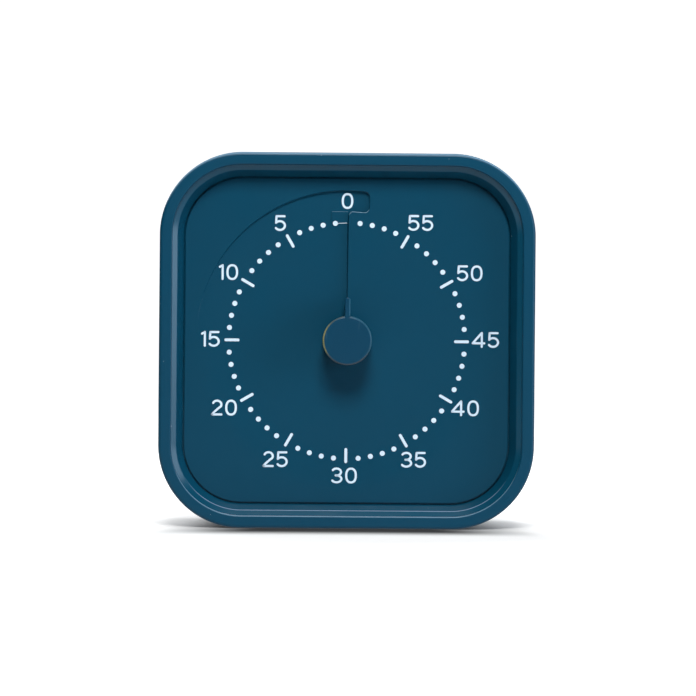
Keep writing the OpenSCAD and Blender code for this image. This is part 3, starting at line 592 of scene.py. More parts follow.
def new_group(name, inputs, outputs):
    """An empty shader group with its sockets. Inputs are (name, default)."""
    group = bpy.data.node_groups.new(name, "ShaderNodeTree")
    group.interface.new_socket("Vector", in_out="INPUT", socket_type="NodeSocketVector")
    for label, default in inputs:
        socket = group.interface.new_socket(label, in_out="INPUT", socket_type="NodeSocketFloat")
        socket.default_value = default
    for label in outputs:
        group.interface.new_socket(label, in_out="OUTPUT", socket_type="NodeSocketFloat")
    return group, group.nodes.new("NodeGroupInput").outputs, group.nodes.new("NodeGroupOutput").inputs


def maths(tree, operation, a, b=0.0):
    """One sum, as a socket."""
    return add_node(tree, "ShaderNodeMath", {0: a, 1: b}, operation=operation).outputs[0]


def times(tree, first, *others):
    """Several values multiplied, as a socket."""
    for other in others:
        first = maths(tree, "MULTIPLY", first, other)
    return first


def blend(tree, value, slope, rest):
    """A value times a slope, plus the rest, as a socket."""
    node = add_node(tree, "ShaderNodeMath", {0: value, 1: slope, 2: rest}, operation="MULTIPLY_ADD")
    return node.outputs[0]


def parts(tree, vector):
    """The three parts of a vector, as sockets."""
    return add_node(tree, "ShaderNodeSeparateXYZ", {0: vector}).outputs


def grain_group():
    """Fine moulded grain: a height that varies with two sizes of noise."""
    group, given, result = new_group("Moulded grain", [("Scale", 2500.0), ("Coarse", 0.3)], ["Height"])
    fine = add_node(group, "ShaderNodeTexNoise", {
        "Vector": given["Vector"], "Scale": given["Scale"], "Detail": 2.0})
    wide = add_node(group, "ShaderNodeTexNoise", {
        "Vector": given["Vector"], "Scale": times(group, given["Scale"], 0.13)})
    coarse = times(group, wide.outputs["Fac"], given["Coarse"])
    group.links.new(maths(group, "ADD", fine.outputs["Fac"], coarse), result["Height"])
    return group


def dust_group():
    """Dust: small round specks, one in a share of the cells of a Voronoi pattern."""
    group, given, result = new_group("Dust", [("Scale", 300.0), ("Share", 0.2), ("Size", 0.06)], ["Mask"])
    cells = add_node(group, "ShaderNodeTexVoronoi", {
        "Vector": given["Vector"], "Scale": given["Scale"]})
    picked = maths(group, "LESS_THAN", add_node(group, "ShaderNodeSeparateColor", {
        "Color": cells.outputs["Color"]}).outputs["Red"], given["Share"])
    near = maths(group, "LESS_THAN", cells.outputs["Distance"], given["Size"])
    group.links.new(times(group, picked, near), result["Mask"])
    return group


def handling_group():
    """Handling: broad, soft patches where fingers have polished or dulled the surface."""
    group, given, result = new_group("Handling", [("Scale", 60.0), ("Strength", 1.0)], ["Mask"])
    cloud = add_node(group, "ShaderNodeTexNoise", {
        "Vector": given["Vector"], "Scale": given["Scale"], "Detail": 5.0, "Roughness": 0.6})
    ramp = add_node(group, "ShaderNodeMapRange", {
        "Value": cloud.outputs["Fac"], "From Min": 0.2, "From Max": 0.9, "To Max": given["Strength"]})
    group.links.new(ramp.outputs[0], result["Mask"])
    return group


def scuff_group():
    """Scuffs: short thin marks in a stretched noise."""
    group, given, result = new_group("Scuffs", [("Scale", 200.0), ("Amount", 0.7)], ["Mask"])
    stretch = add_node(group, "ShaderNodeMapping", {
        "Vector": given["Vector"], "Rotation": (0.0, 0.7, 0.3), "Scale": (1.0, 1.0, 0.08)})
    marks = add_node(group, "ShaderNodeTexNoise", {
        "Vector": stretch.outputs[0], "Scale": given["Scale"], "Detail": 3.0})
    mask = add_node(group, "ShaderNodeMapRange", {
        "Value": marks.outputs["Fac"], "From Min": given["Amount"], "From Max": 0.85})
    group.links.new(mask.outputs[0], result["Mask"])
    return group


GROUPS = {}


def build_groups():
    """Builds each shader group once."""
    GROUPS.update(
        grain=grain_group(), dust=dust_group(), handling=handling_group(), scuffs=scuff_group(),
        ring=ring_group())


def place_group(tree, key, vector, **inputs):
    """Places a shader group in a material and returns its output."""
    values = {"Vector": vector, **{name.title(): value for name, value in inputs.items()}}
    return add_node(tree, "ShaderNodeGroup", values, node_tree=GROUPS[key]).outputs[0]


def tint(tree, mask, base, over):
    """Mixes two colours by a mask."""
    return add_node(tree, "ShaderNodeMix", {0: mask, 6: base, 7: over}, data_type="RGBA").outputs[2]


def new_material(name, specular=0.5):
    """An empty material: its tree, its Principled shader and the object's coordinates."""
    material = bpy.data.materials.new(name)
    material.use_nodes = True
    tree = material.node_tree
    shader = tree.nodes["Principled BSDF"]
    shader.inputs["Specular IOR Level"].default_value = specular
    shader.inputs["IOR"].default_value = 1.5
    place = tree.nodes.new("ShaderNodeTexCoord").outputs["Object"]
    return material, tree, shader, place


def ring_group():
    """A ring round the Y axis: a mask between two distances from the axis."""
    group, given, result = new_group("Ring", [("Inner", 0.0), ("Soft", 0.001), ("Outer", 1.0)], ["Mask"])
    flat = add_node(group, "ShaderNodeVectorMath", {0: given["Vector"], 1: (1.0, 0.0, 1.0)},
                    operation="MULTIPLY")
    away = add_node(group, "ShaderNodeVectorMath", {0: flat.outputs[0]}, operation="LENGTH")
    away = away.outputs["Value"]
    rise = add_node(group, "ShaderNodeMapRange", {
        "Value": away, "From Min": given["Inner"],
        "From Max": maths(group, "ADD", given["Inner"], given["Soft"])})
    inside = maths(group, "LESS_THAN", away, given["Outer"])
    group.links.new(times(group, rise.outputs[0], inside), result["Mask"])
    return group


def fade(tree, value, start, end, kind="LINEAR"):
    """A mask that rises from 0 to 1 as a value goes from start to end."""
    return add_node(tree, "ShaderNodeMapRange", {
        "Value": value, "From Min": start, "From Max": end}, interpolation_type=kind).outputs[0]


def upper_edges(tree, flat, steep, start, full):
    """A mask of rounded edges, from nearly flat to nearly steep, where they face upwards towards the light:
    it places painted highlights.
    """
    soft = 0.1
    _, back, up = parts(tree, tree.nodes.new("ShaderNodeTexCoord").outputs["Normal"])
    rounded = times(tree, fade(tree, back, -flat, soft - flat), fade(tree, back, -steep, -soft - steep))
    return times(tree, rounded, fade(tree, up, start, full))


def from_centre(tree, place, node):
    """Where a point lies seen from the axis of a round node."""
    low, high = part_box(node)
    centre = (0, 0, low.z + high.x)
    return add_node(tree, "ShaderNodeVectorMath", {0: place, 1: centre}, operation="SUBTRACT").outputs[0]


def pocket_edges(tree, place, surface):
    """Painted highlights on the upper edges round the dial's pocket."""
    at = from_centre(tree, place, "dial_face")
    ring = place_group(tree, "ring", at, inner=30.4 * MM, soft=0.3 * MM, outer=38.0 * MM)
    edges = times(tree, upper_edges(tree, 0.98, 0.1, 0.2, 0.5), ring)
    # A pale blue painted highlight where these edges face upwards
    return tint(tree, edges, surface, (0.18, 0.30, 0.40, 1))


def lip_edges(tree, place, surface):
    """Painted highlights on the soft cover's edges where they face upwards."""
    return tint(tree, upper_edges(tree, 0.93, 0.28, 0.2, 0.5), surface, (0.13, 0.24, 0.34, 1))


def crest_edges(tree, place, surface):
    """A painted highlight on the crest between the bezel's band and wall, where it faces upwards."""
    return tint(tree, upper_edges(tree, 0.80, 0.42, 0.4, 0.65), surface, (0.15, 0.23, 0.34, 1))


def knob_wear(tree, place, surface):
    """The knob's painted rim reflection, gold at the left, brownish below and pale at the right, painted
    highlights on the pointer's right edge and tip, and its scuffs.
    """
    # Colours of the painted reflection round the rim, and of the painted highlights on the pointer
    brown, blue, gold = (0.055, 0.085, 0.10, 1), (0.022, 0.085, 0.135, 1), (0.27, 0.26, 0.11, 1)
    dark, fin_side_highlight, fin_tip_highlight = (0.055, 0.075, 0.095, 1), (0.026, 0.115, 0.19, 1), (0.06, 0.18, 0.27, 1)
    at = from_centre(tree, place, "knob")
    across, along, up = parts(tree, at)
    aside, level = maths(tree, "ABSOLUTE", across), maths(tree, "ABSOLUTE", up)
    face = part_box("knob")[0].y / MM

    def band(value, start, end):
        return fade(tree, value, start * MM, end * MM)

    # The rim's painted reflection: brownish at the left, pale blue at the right, gold high on the left,
    # darker at the bottom
    colour = tint(tree, band(across, -0.5, 1.5), brown, blue)
    colour = tint(tree, times(tree, band(across, -2.5, -5.4), band(level, 5.0, 2.5)), colour, gold)
    colour = tint(tree, band(up, -2.5, -4.5), colour, dark)
    ring = place_group(tree, "ring", at, inner=5.6 * MM, soft=0.12 * MM, outer=6.05 * MM)
    beside_fin = maths(tree, "MAXIMUM", band(up, 5.2, 5.0), band(aside, 0.6, 0.9))
    painted_rim_glint = times(tree, ring, band(along, face + 0.8, face + 0.45), beside_fin)
    surface = tint(tree, painted_rim_glint, surface, colour)
    # Painted highlights along the pointer's right edge and on its tip
    fin_edge_highlight = times(tree, band(across, 0.4, 0.52), band(up, 5.9, 6.4))
    surface = tint(tree, fin_edge_highlight, surface, fin_side_highlight)
    surface = tint(tree, band(up, 12.95, 13.2), surface, fin_tip_highlight)
    # The scuffs are real wear
    scuffed = place_group(tree, "scuffs", place, scale=900.0, amount=0.6)
    return tint(tree, times(tree, scuffed, 0.5), surface, (0.10, 0.17, 0.22, 1))


def emboss(tree, shader, height, strength, depth):
    """Turns a height into the shader's normal. The depth is in millimetres."""
    bump = add_node(tree, "ShaderNodeBump", {
        "Strength": strength, "Distance": depth * MM, "Height": height})
    tree.links.new(bump.outputs[0], shader.inputs["Normal"])


def moulded(name, colour, roughness, grain=(2500.0, 0.02), dust=(300.0, 0.2, 0.05), specular=0.5,
            highlights_and_wear=None):
    """Moulded plastic or rubber. The grain is (scale, depth), the dust (scale, share, size)."""
    paler, lift, cloud = 1.12, 0.002, 0.12
    speck = (0.5, 0.6, 0.7, 1.0)
    material, tree, shader, place = new_material(name, specular)
    shader.inputs["Specular Tint"].default_value = (0.8, 0.91, 1.0, 1.0)
    handled = place_group(tree, "handling", place, scale=70.0, strength=1.0)
    pale = (*[c * paler + lift for c in colour], 1.0)
    surface = tint(tree, times(tree, handled, 0.6), (*colour, 1.0), pale)
    dust_mask = place_group(tree, "dust", place, scale=dust[0], share=dust[1], size=dust[2])
    surface = tint(tree, times(tree, dust_mask, 0.35), surface, speck)
    # Adds painted highlights on edges that face upwards, and on the knob a painted rim reflection and its
    # scuffs
    if highlights_and_wear:
        surface = highlights_and_wear(tree, place, surface)
    tree.links.new(surface, shader.inputs["Base Color"])
    rough = maths(tree, "ADD", times(tree, handled, -cloud), roughness + cloud / 2)
    tree.links.new(rough, shader.inputs["Roughness"])
    height = place_group(tree, "grain", place, scale=grain[0], coarse=0.5)
    emboss(tree, shader, height, 0.5, grain[1])
    return material


def metal(name, colour, roughness, scale):
    """Drawn or turned metal: fine scratches along X and dull patches."""
    material, tree, shader, place = new_material(name)
    scuffed = place_group(tree, "scuffs", place, scale=scale, amount=0.55)
    dulled = place_group(tree, "handling", place, scale=200.0, strength=1.0)
    dark = (*[c * 0.72 for c in colour], 1.0)
    scratched = tint(tree, times(tree, scuffed, 0.6), (*colour, 1.0), dark)
    tree.links.new(scratched, shader.inputs["Base Color"])
    rough = maths(tree, "ADD", times(tree, dulled, 0.15), roughness)
    tree.links.new(rough, shader.inputs["Roughness"])
    shader.inputs["Metallic"].default_value = 1.0
    emboss(tree, shader, scuffed, 0.3, 0.01)
    return material


def winding(name):
    """Enamelled copper wire wound round a bobbin: fine rings across X."""
    material, tree, shader, place = new_material(name)
    turns = add_node(tree, "ShaderNodeTexWave", {"Vector": place, "Scale": 1200.0, "Distortion": 0.4},
                     bands_direction="X").outputs["Fac"]
    tree.links.new(tint(tree, turns, (0.30, 0.10, 0.03, 1), (0.78, 0.34, 0.12, 1)),
                   shader.inputs["Base Color"])
    shader.inputs["Metallic"].default_value = 0.9
    dulled = place_group(tree, "handling", place, scale=300.0, strength=0.2)
    tree.links.new(maths(tree, "ADD", dulled, 0.25), shader.inputs["Roughness"])
    emboss(tree, shader, turns, 0.8, 0.04)
    return material


def circuit(name):
    """Green solder mask with copper tracks showing through."""
    black, white = (0, 0, 0, 1), (1, 1, 1, 1)
    material, tree, shader, place = new_material(name)
    tracks = add_node(tree, "ShaderNodeTexBrick", {
        "Vector": place, "Scale": 320.0, "Mortar Size": 0.02,
        "Color1": black, "Color2": black, "Mortar": white}).outputs["Fac"]
    tree.links.new(tint(tree, tracks, (0.012, 0.11, 0.045, 1), (0.05, 0.24, 0.09, 1)),
                   shader.inputs["Base Color"])
    dulled = place_group(tree, "handling", place, scale=150.0, strength=0.2)
    tree.links.new(maths(tree, "ADD", dulled, 0.25), shader.inputs["Roughness"])
    emboss(tree, shader, tracks, 0.4, 0.03)
    return material


def jacket(name):
    """The cell's printed sleeve: black with a copper band towards the positive end."""
    black, copper, bare, scratch = ((*colour, 1) for colour in (
        (0.02, 0.02, 0.022), (0.62, 0.30, 0.10), (0.6, 0.6, 0.6), (0.5, 0.5, 0.5)))
    band_start = 0.68               # share of the cell's length
    nub_length = 1.0 * MM
    material, tree, shader, place = new_material(name)
    low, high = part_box("battery_cell")
    across = parts(tree, place)[0]
    band = maths(tree, "GREATER_THAN", across, low.x + (high.x - low.x) * band_start)
    nub = maths(tree, "GREATER_THAN", across, high.x - nub_length)
    sleeve = tint(tree, nub, tint(tree, band, black, copper), bare)
    scuffed = place_group(tree, "scuffs", place, scale=500.0, amount=0.6)
    tree.links.new(tint(tree, times(tree, scuffed, 0.3), sleeve, scratch), shader.inputs["Base Color"])
    shader.inputs["Roughness"].default_value = 0.25
    tree.links.new(maths(tree, "ADD", times(tree, band, 0.7), 0.15), shader.inputs["Metallic"])
    return material


MATERIALS = {}


def build_materials():
    """Builds every material once."""
    build_groups()
    MATERIALS.update(
        soft_cover=moulded("Soft cover", (0.0012, 0.046, 0.0905), 0.33, (1800.0, 0.02),
                           (420.0, 0.3, 0.045), 0.19, highlights_and_wear=lip_edges),
        case=moulded("Body plastic", (0.0014, 0.050, 0.094), 0.2, (2600.0, 0.005), specular=0.33,
                     highlights_and_wear=crest_edges),
        dial=moulded("Dial", (0.0006, 0.0457, 0.088), 0.33, (3000.0, 0.008), (260.0, 0.08, 0.035), 0.18,
                     highlights_and_wear=pocket_edges),
        knob=moulded("Knob", (0.0020, 0.0405, 0.083), 0.3, (2600.0, 0.008), (300.0, 0.16, 0.05), 0.2,
                     highlights_and_wear=knob_wear),
        dial_print=moulded("Dial print", (0.60, 0.72, 0.84), 0.6, (3500.0, 0.006), specular=0.1),
        disk=moulded("Disk", (0.80, 0.72, 0.55), 0.45, (2500.0, 0.01), specular=0.4),
        gear_plastic=moulded("Gear plastic", (0.80, 0.78, 0.70), 0.4, (2500.0, 0.01), specular=0.5),
        movement_housing=moulded("Movement housing", (0.006, 0.011, 0.016), 0.5, (2200.0, 0.02),
                                 specular=0.2),
        black_plastic=moulded("Black plastic", (0.015, 0.015, 0.016), 0.35, (3000.0, 0.01)),
        slider=moulded("Slider", (0.012, 0.09, 0.17), 0.4, (2600.0, 0.012)),
        magnet=moulded("Magnet", (0.06, 0.06, 0.065), 0.55, (2000.0, 0.05), specular=0.6),
        steel=metal("Steel", (0.56, 0.56, 0.57), 0.28, 900.0),
        brass=metal("Brass", (0.72, 0.50, 0.20), 0.25, 900.0),
        screw_steel=metal("Screw steel", (0.62, 0.62, 0.64), 0.2, 1500.0),
        nickel=metal("Nickel", (0.66, 0.64, 0.60), 0.22, 1200.0),
        copper_wire=winding("Copper wire"),
        board=circuit("Circuit board"),
        cell_jacket=jacket("Cell jacket"),
    )


# ---- pieces ----

def front_half(inset):
    """Half size of an outline that lies the given width inside the cover."""
    return lying_box("silicone_cover")[1].x - inset


def corner_centre():
    """Where every corner of the case turns."""
    return front_half(bpy.context.scene.timer_cover.corner_radius / MM)


class TIMER_OT_silicone_cover(bpy.types.Operator):
    """Model the soft cover: one moulding with a lip over the rim and a lip round the back"""

    bl_idname = "timer.silicone_cover"
    bl_label = "Soft Cover"
    bl_options = {"REGISTER", "UNDO"}

    def execute(self, context):
        size = in_mm(context.scene.timer_cover)
        low, high = lying_box("silicone_cover")
        outer = high.x
        inner = outer - size.wall
        rim = outer - size.front_lip
        back = outer - size.rear_lip
        cover = draw_face("soft_cover", [
            (rim, high.z, size.lip_edge), (outer, high.z, size.front_edge),
            (outer, low.z, size.rear_edge), (back, low.z, size.lip_edge),
            (back, low.z + size.lip_thickness, size.lip_edge),
            (inner, low.z + size.lip_thickness, size.lip_edge),
            (inner, high.z - size.lip_thickness, size.lip_edge),
            (rim, high.z - size.lip_thickness, size.lip_edge)], steps=8)
        sweep_round(corner_centre(), size.corner_steps)
        set_up(cover, MATERIALS["soft_cover"])
        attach(cover, "case")
        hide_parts("silicone_cover")
        return {"FINISHED"}


class TIMER_OT_front_case(bpy.types.Operator):
    """Model the front case: the bezel's band and wall, the side wall and the bulkhead"""

    bl_idname = "timer.front_case"
    bl_label = "Front Case"
    bl_options = {"REGISTER", "UNDO"}

    seat = 0.05                     # gap between flat faces that seat on each other
    bulkhead_lap = 0.5              # how far the bulkhead reaches into the wall
    web_reach = 6.6                 # from a boss's axis into the corner of the wall
    case_bore = (1.22, 10.0)        # radius and depth
    movement_bore = (0.87, 2.5)
    movement_bore_place = 27.1      # distance from the middle, both ways

    def execute(self, context):
        size = in_mm(context.scene.timer_bezel)
        cover = in_mm(context.scene.timer_cover)
        dial = in_mm(context.scene.timer_dial)
        low, high = lying_box("front_case")
        dial_top = lying_box("dial_face")[1].z
        split = lying_box("rear_case")[1].z - size.tongue
        outer = high.x
        rim = front_half(cover.front_lip)
        crest = rim - size.band
        wall = crest - size.draft
        inner = outer - size.case_wall
        shelf = dial_top - dial.plate - self.seat
        back = shelf - size.bulkhead
        case = draw_face("front_case", [
            (outer, high.z, 0.15), (rim, high.z, 0.05),
            (crest, high.z + self.seat - size.drop, size.crest_edge), (wall, dial_top, 0.1),
            (wall, back, 0.1), (inner, back), (inner, split, 0.1), (outer, split, 0.1)])
        sweep_round(corner_centre(), cover.corner_steps)
        reach = wall + self.bulkhead_lap
        bulkhead = plate("bulkhead", reach, reach, reach - corner_centre(), back, shelf, 48)
        hole = dial.chamber_radius + dial.chamber_wall + 2 * self.seat
        combine(bulkhead, rod("hole", hole, back - OVER, shelf + OVER, steps=160), "DIFFERENCE")
        combine(case, bulkhead, "UNION")
        self.fastenings(case, size, low.z, back, split)
        set_up(case, MATERIALS["case"])
        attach(case, "case")
        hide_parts("front_case")
        return {"FINISHED"}

    def fastenings(self, case, size, low, back, split):
        """The bosses behind the bulkhead, the webs that tie them to the wall, and all screw bores."""
        at = size.boss_place
        boss = rod("boss", size.boss_radius, low, back + OVER, (at, at), 48)
        web = block("web", (size.boss_radius / 2, -size.case_wall / 2, split + size.tongue + OVER),
                    (self.web_reach, size.case_wall / 2, back + OVER))
        web.data.transform(Matrix.Translation((at, at, 0)) @ Matrix.Rotation(QUARTER / 2, 4, "Z"))
        combine(boss, web, "UNION")
        combine(case, four_of(boss), "UNION")
        bore = rod("bore", self.case_bore[0], low - OVER, low + self.case_bore[1], (at, at), 32)
        combine(case, four_of(bore), "DIFFERENCE")
        at = self.movement_bore_place
        bore = rod("bore", self.movement_bore[0], back - OVER, back + self.movement_bore[1], (at, at), 24)
        combine(case, four_of(bore), "DIFFERENCE")


def recess_run(a, size):
    """Height of the dial outside the blend: it rises out of the recess over the recess's span."""
    span = math.degrees(size.recess_span)
    return -size.pitch * max(0.0, 1 - a / span)


def climb(a, size):
    """Height of the sheet over the disk, which climbs one pitch in a turn."""
    return -size.pitch * (1 - a / 360)


def turn_of(x, y):
    """Distance of a point from the axis, and its turn anticlockwise from the zero, in degrees."""
    return math.hypot(x, y), math.degrees(math.atan2(-x, y)) % 360


def blend_ends(size):
    """Radii between which the climbing sheet blends into the recess."""
    return size.chamber_radius + 0.2, size.recess_radius - 0.5


def dial_height(x, y, size):
    """Height of the dial's surface over its flat border, without the pocket and the land."""
    r, a = turn_of(x, y)
    if r >= size.recess_radius:
        return 0.0
    start, end = blend_ends(size)
    t = min(max((r - start) / (end - start), 0), 1)
    t = t * t * (3 - 2 * t)
    return climb(a, size) * (1 - t) + recess_run(a, size) * t


class TIMER_OT_dial_face(bpy.types.Operator):
    """Model the dial: the climbing sheet, the spiral recess, the pocket, the land and the slot"""

    bl_idname = "timer.dial_face"
    bl_label = "Dial"
    bl_options = {"REGISTER", "UNDO"}

    seam = 0.6                      # degrees between the two sides of the step inside the slot
    columns = 240                   # columns round the rest of the dial
    sheet_rings = (12.0, 20.0)      # radii of two rings of points in the sheet over the disk
    blend_rings = 14
    groove_depth = 1.9              # depth of the slot outside the disk's chamber
    chamfer = 0.95                  # slant from the slot's end into the pocket

    def execute(self, context):
        size = in_mm(context.scene.timer_dial)
        dial = self.spiral_plate(size)
        self.cut(dial, size)
        set_up(dial, MATERIALS["dial"], angle=25)
        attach(dial, "case")
        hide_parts("dial_face")
        return {"FINISHED"}

    def spiral_plate(self, size):
        """The dial's profile turned round its axis, with its points set to the climbing surface."""
        low, high = lying_box("dial_face")
        half = high.x
        top = high.z
        wall_r = size.chamber_radius + size.chamber_wall
        under = top - size.plate
        start, end = blend_ends(size)
        blend = [start + (end - start) * i / self.blend_rings for i in range(self.blend_rings + 1)]
        inner = [size.hole_radius, *self.sheet_rings]
        dial = draw_face("dial_face", [
            *[(r, top) for r in (*inner, *blend, size.recess_radius - APART)],
            (size.recess_radius, top), (size.recess_radius + size.edge, top),
            (half - size.edge, top), (half, top - size.edge), (half, under), (wall_r, under),
            (wall_r, low.z), (size.chamber_radius, low.z),
            *[(r, top - size.sheet) for r in (size.chamber_radius, *reversed(inner))]])
        drop_face()
        seam = math.radians(self.seam)
        move_points(lambda co: Matrix.Rotation(QUARTER, 3, "Z") @ co)
        spin(self.columns, 2 * math.pi - seam)
        spin(1, seam)
        weld()
        move_points(lambda co: self.settle(co, size, top, half))
        face_outwards()
        put_down()
        return dial

    def settle(self, co, size, top, half):
        """Sets one point of the turned profile to its height, or out to the square outline."""
        r, a = turn_of(co.x, co.y)
        if a > 359.99:
            a = 0.0
        if r > size.recess_radius + size.edge + MERGE:
            reach = rounded_reach(co.x / r, co.y / r, half, corner_centre())
            scale = (reach - (half - r)) / r
            return Vector((co.x * scale, co.y * scale, co.z))
        if abs(co.z - top) < MERGE:
            if r < size.recess_radius - MERGE:
                return Vector((co.x, co.y, top + dial_height(co.x - MERGE, co.y, size)))
            if r < size.recess_radius + MERGE:
                sunk = min(size.edge, -recess_run(a, size))
                return Vector((co.x, co.y, top - sunk))
        if abs(co.z - top + size.sheet) < MERGE:
            return Vector((co.x, co.y, top + climb(a, size) - size.sheet))
        return co

    def cut(self, dial, size):
        """Cuts the slot and the pocket and sets the land beside the slot."""
        low, high = lying_box("dial_face")
        top = high.z
        floor = top - size.pitch - APART
        groove = top - self.groove_depth
        combine(dial, self.slot_cutter(size, size.hole_radius / 2, size.chamber_radius, low.z - OVER, top),
                "DIFFERENCE")
        combine(dial, self.slot_cutter(size, size.chamber_radius - OVER, size.slot_radius, groove, top),
                "DIFFERENCE")
        combine(dial, self.pocket_cutter(size, floor, top), "DIFFERENCE")
        land = block("land", (-size.land_width, size.slot_radius, top - size.plate + OVER), (
            size.slot_right + 2 * APART, size.pocket_radius - 2 * APART,
            top - size.pitch + size.land_height))
        break_edges(land, size.land_edge, 3)
        combine(dial, land, "UNION")

    def slot_cutter(self, size, inner, outer, low, top):
        """The slot between two radii, its right side leaning out towards the top."""
        cutter = draw_face("slot", [
            (size.slot_left, low), (size.slot_right - size.slot_flare, low),
            (size.slot_right - size.slot_flare, top - 2 * size.slot_flare), (size.slot_right, top),
            (size.slot_right, top + OVER), (size.slot_left, top + OVER)])
        bpy.ops.mesh.select_all(action="SELECT")
        bpy.ops.transform.translate(value=(0, inner, 0))
        drag(0, outer - inner, 0)
        weld()
        put_down()
        return cutter

    def pocket_cutter(self, size, floor, top):
        """The hollow of the pocket and the step beside the slot, rounded out where it meets the dial."""
        outline = self.pocket_outline(size)
        cutter = draw("pocket", [(point.x, point.y, floor) for point in outline])
        drag(0, 0, top - size.edge - floor)
        for step in range(1, 5):
            a = QUARTER * step / 4
            height = top - size.edge + size.edge * math.sin(a)
            self.add_ring(grown(outline, size.edge * (1 - math.cos(a))), height)
        drag(0, 0, OVER)
        weld()
        put_down()
        return cutter

    def add_ring(self, outline, height):
        """Extrudes the cutter's selected top face and sets it to the next outline."""
        drag(0, 0, 0)
        obj = bpy.context.edit_object
        mesh = bmesh.from_edit_mesh(obj.data)
        top = [vert for vert in mesh.verts if vert.select]
        for vert in top:
            place = min(outline, key=lambda point: (point - vert.co.xy).length)
            vert.co = (place.x, place.y, height)
        bmesh.update_edit_mesh(obj.data)

    def pocket_outline(self, size):
        """Points of the pocket and the step, anticlockwise from the step's lower left corner."""
        corner = size.pocket_corner
        x = size.pocket_width - corner
        recess = size.recess_radius
        inner = size.pocket_radius
        middle = Vector((0, 0))
        lower = Vector((x, math.sqrt((inner + corner) ** 2 - x * x)))
        upper = Vector((x, math.sqrt((recess - corner) ** 2 - x * x)))

        def arc(centre, radius, start, end, steps):
            angles = [start + (end - start) * i / steps for i in range(1, steps + 1)]
            return [centre + radius * Vector((math.cos(a), math.sin(a))) for a in angles]

        first = math.atan2(inner, size.slot_right + self.chamfer)
        down = math.atan2(-lower.y, -lower.x)
        up = math.atan2(upper.y, upper.x)
        last = math.atan2(recess, size.slot_left)
        return [
            Vector((size.slot_left, size.slot_radius)),
            Vector((size.slot_right, size.slot_radius)),
            Vector((size.slot_right, inner - self.chamfer)),
            Vector((size.slot_right + self.chamfer, inner)),
            *arc(middle, inner, first, math.atan2(lower.y, lower.x), 8), *arc(lower, corner, down, 0, 10),
            upper + Vector((corner, 0)), *arc(upper, corner, 0, up, 10), *arc(middle, recess, up, last, 10)]


# The digits' strokes are given by their centre lines, in millimetres from the digit's middle
DIGIT_HALF = 1.69                  # half height of every digit's centre line


def line(*points):
    """A stroke of straight lines."""
    return [Vector(point) for point in points]


def bow(centre, reach, start, end, power=2.0, steps=24):
    """A stroke along an oval, between two angles in degrees. A higher power makes it squarer."""
    points = []
    for i in range(steps + 1):
        a = math.radians(start + (end - start) * i / steps)
        c, s = math.cos(a), math.sin(a)
        points.append(Vector((
            centre[0] + reach[0] * math.copysign(abs(c) ** (2 / power), c),
            centre[1] + reach[1] * math.copysign(abs(s) ** (2 / power), s))))
    return points


def digit_strokes():
    """The strokes of each digit that the dial needs."""
    top, low = DIGIT_HALF, -DIGIT_HALF
    return {
        "0": [bow((0, 0), (1.17, top), 90, 450, 2.35, 48)],
        "1": [line((0, top), (0, low)), line((-0.68, 1.27), (-0.05, 1.64))],
        "2": [bow((0.12, 0.74), (1.05, 0.95), 155, -32) + line((0.5, -0.12), (-0.5, -1.02), (-1.06, -1.62)),
              line((-1.06, low), (1.2, low))],
        "3": [bow((0, 0.84), (1.09, 0.85), 148, -88), bow((0, -0.84), (1.2, 0.85), 88, -150),
              line((-0.2, 0), (0.1, 0))],
        "4": [line((0.9, top), (0.9, low)), line((0.86, top), (-1.31, -0.8)),
              line((-1.31, -0.84), (1.5, -0.84))],
        "5": [line((-0.93, top), (1.05, top)), line((-0.93, 1.66), (-1.02, 0.14)),
              bow((-0.08, -0.61), (1.22, 1.08), 142, -145)],
    }


# Middle of each number on the dial, in millimetres right of and above the dial's centre
NUMBER_PLACES = {
    0: (-0.09, 34.5), 5: (-16.6, 28.9), 10: (-29.3, 16.7), 15: (-33.6, 0.2), 20: (-30.1, -16.7),
    25: (-17.4, -29.3), 30: (-0.4, -33.2), 35: (16.7, -29.2), 40: (29.3, -16.4), 45: (34.2, 0.5),
    50: (30.2, 16.9), 55: (18.0, 29.2),
}


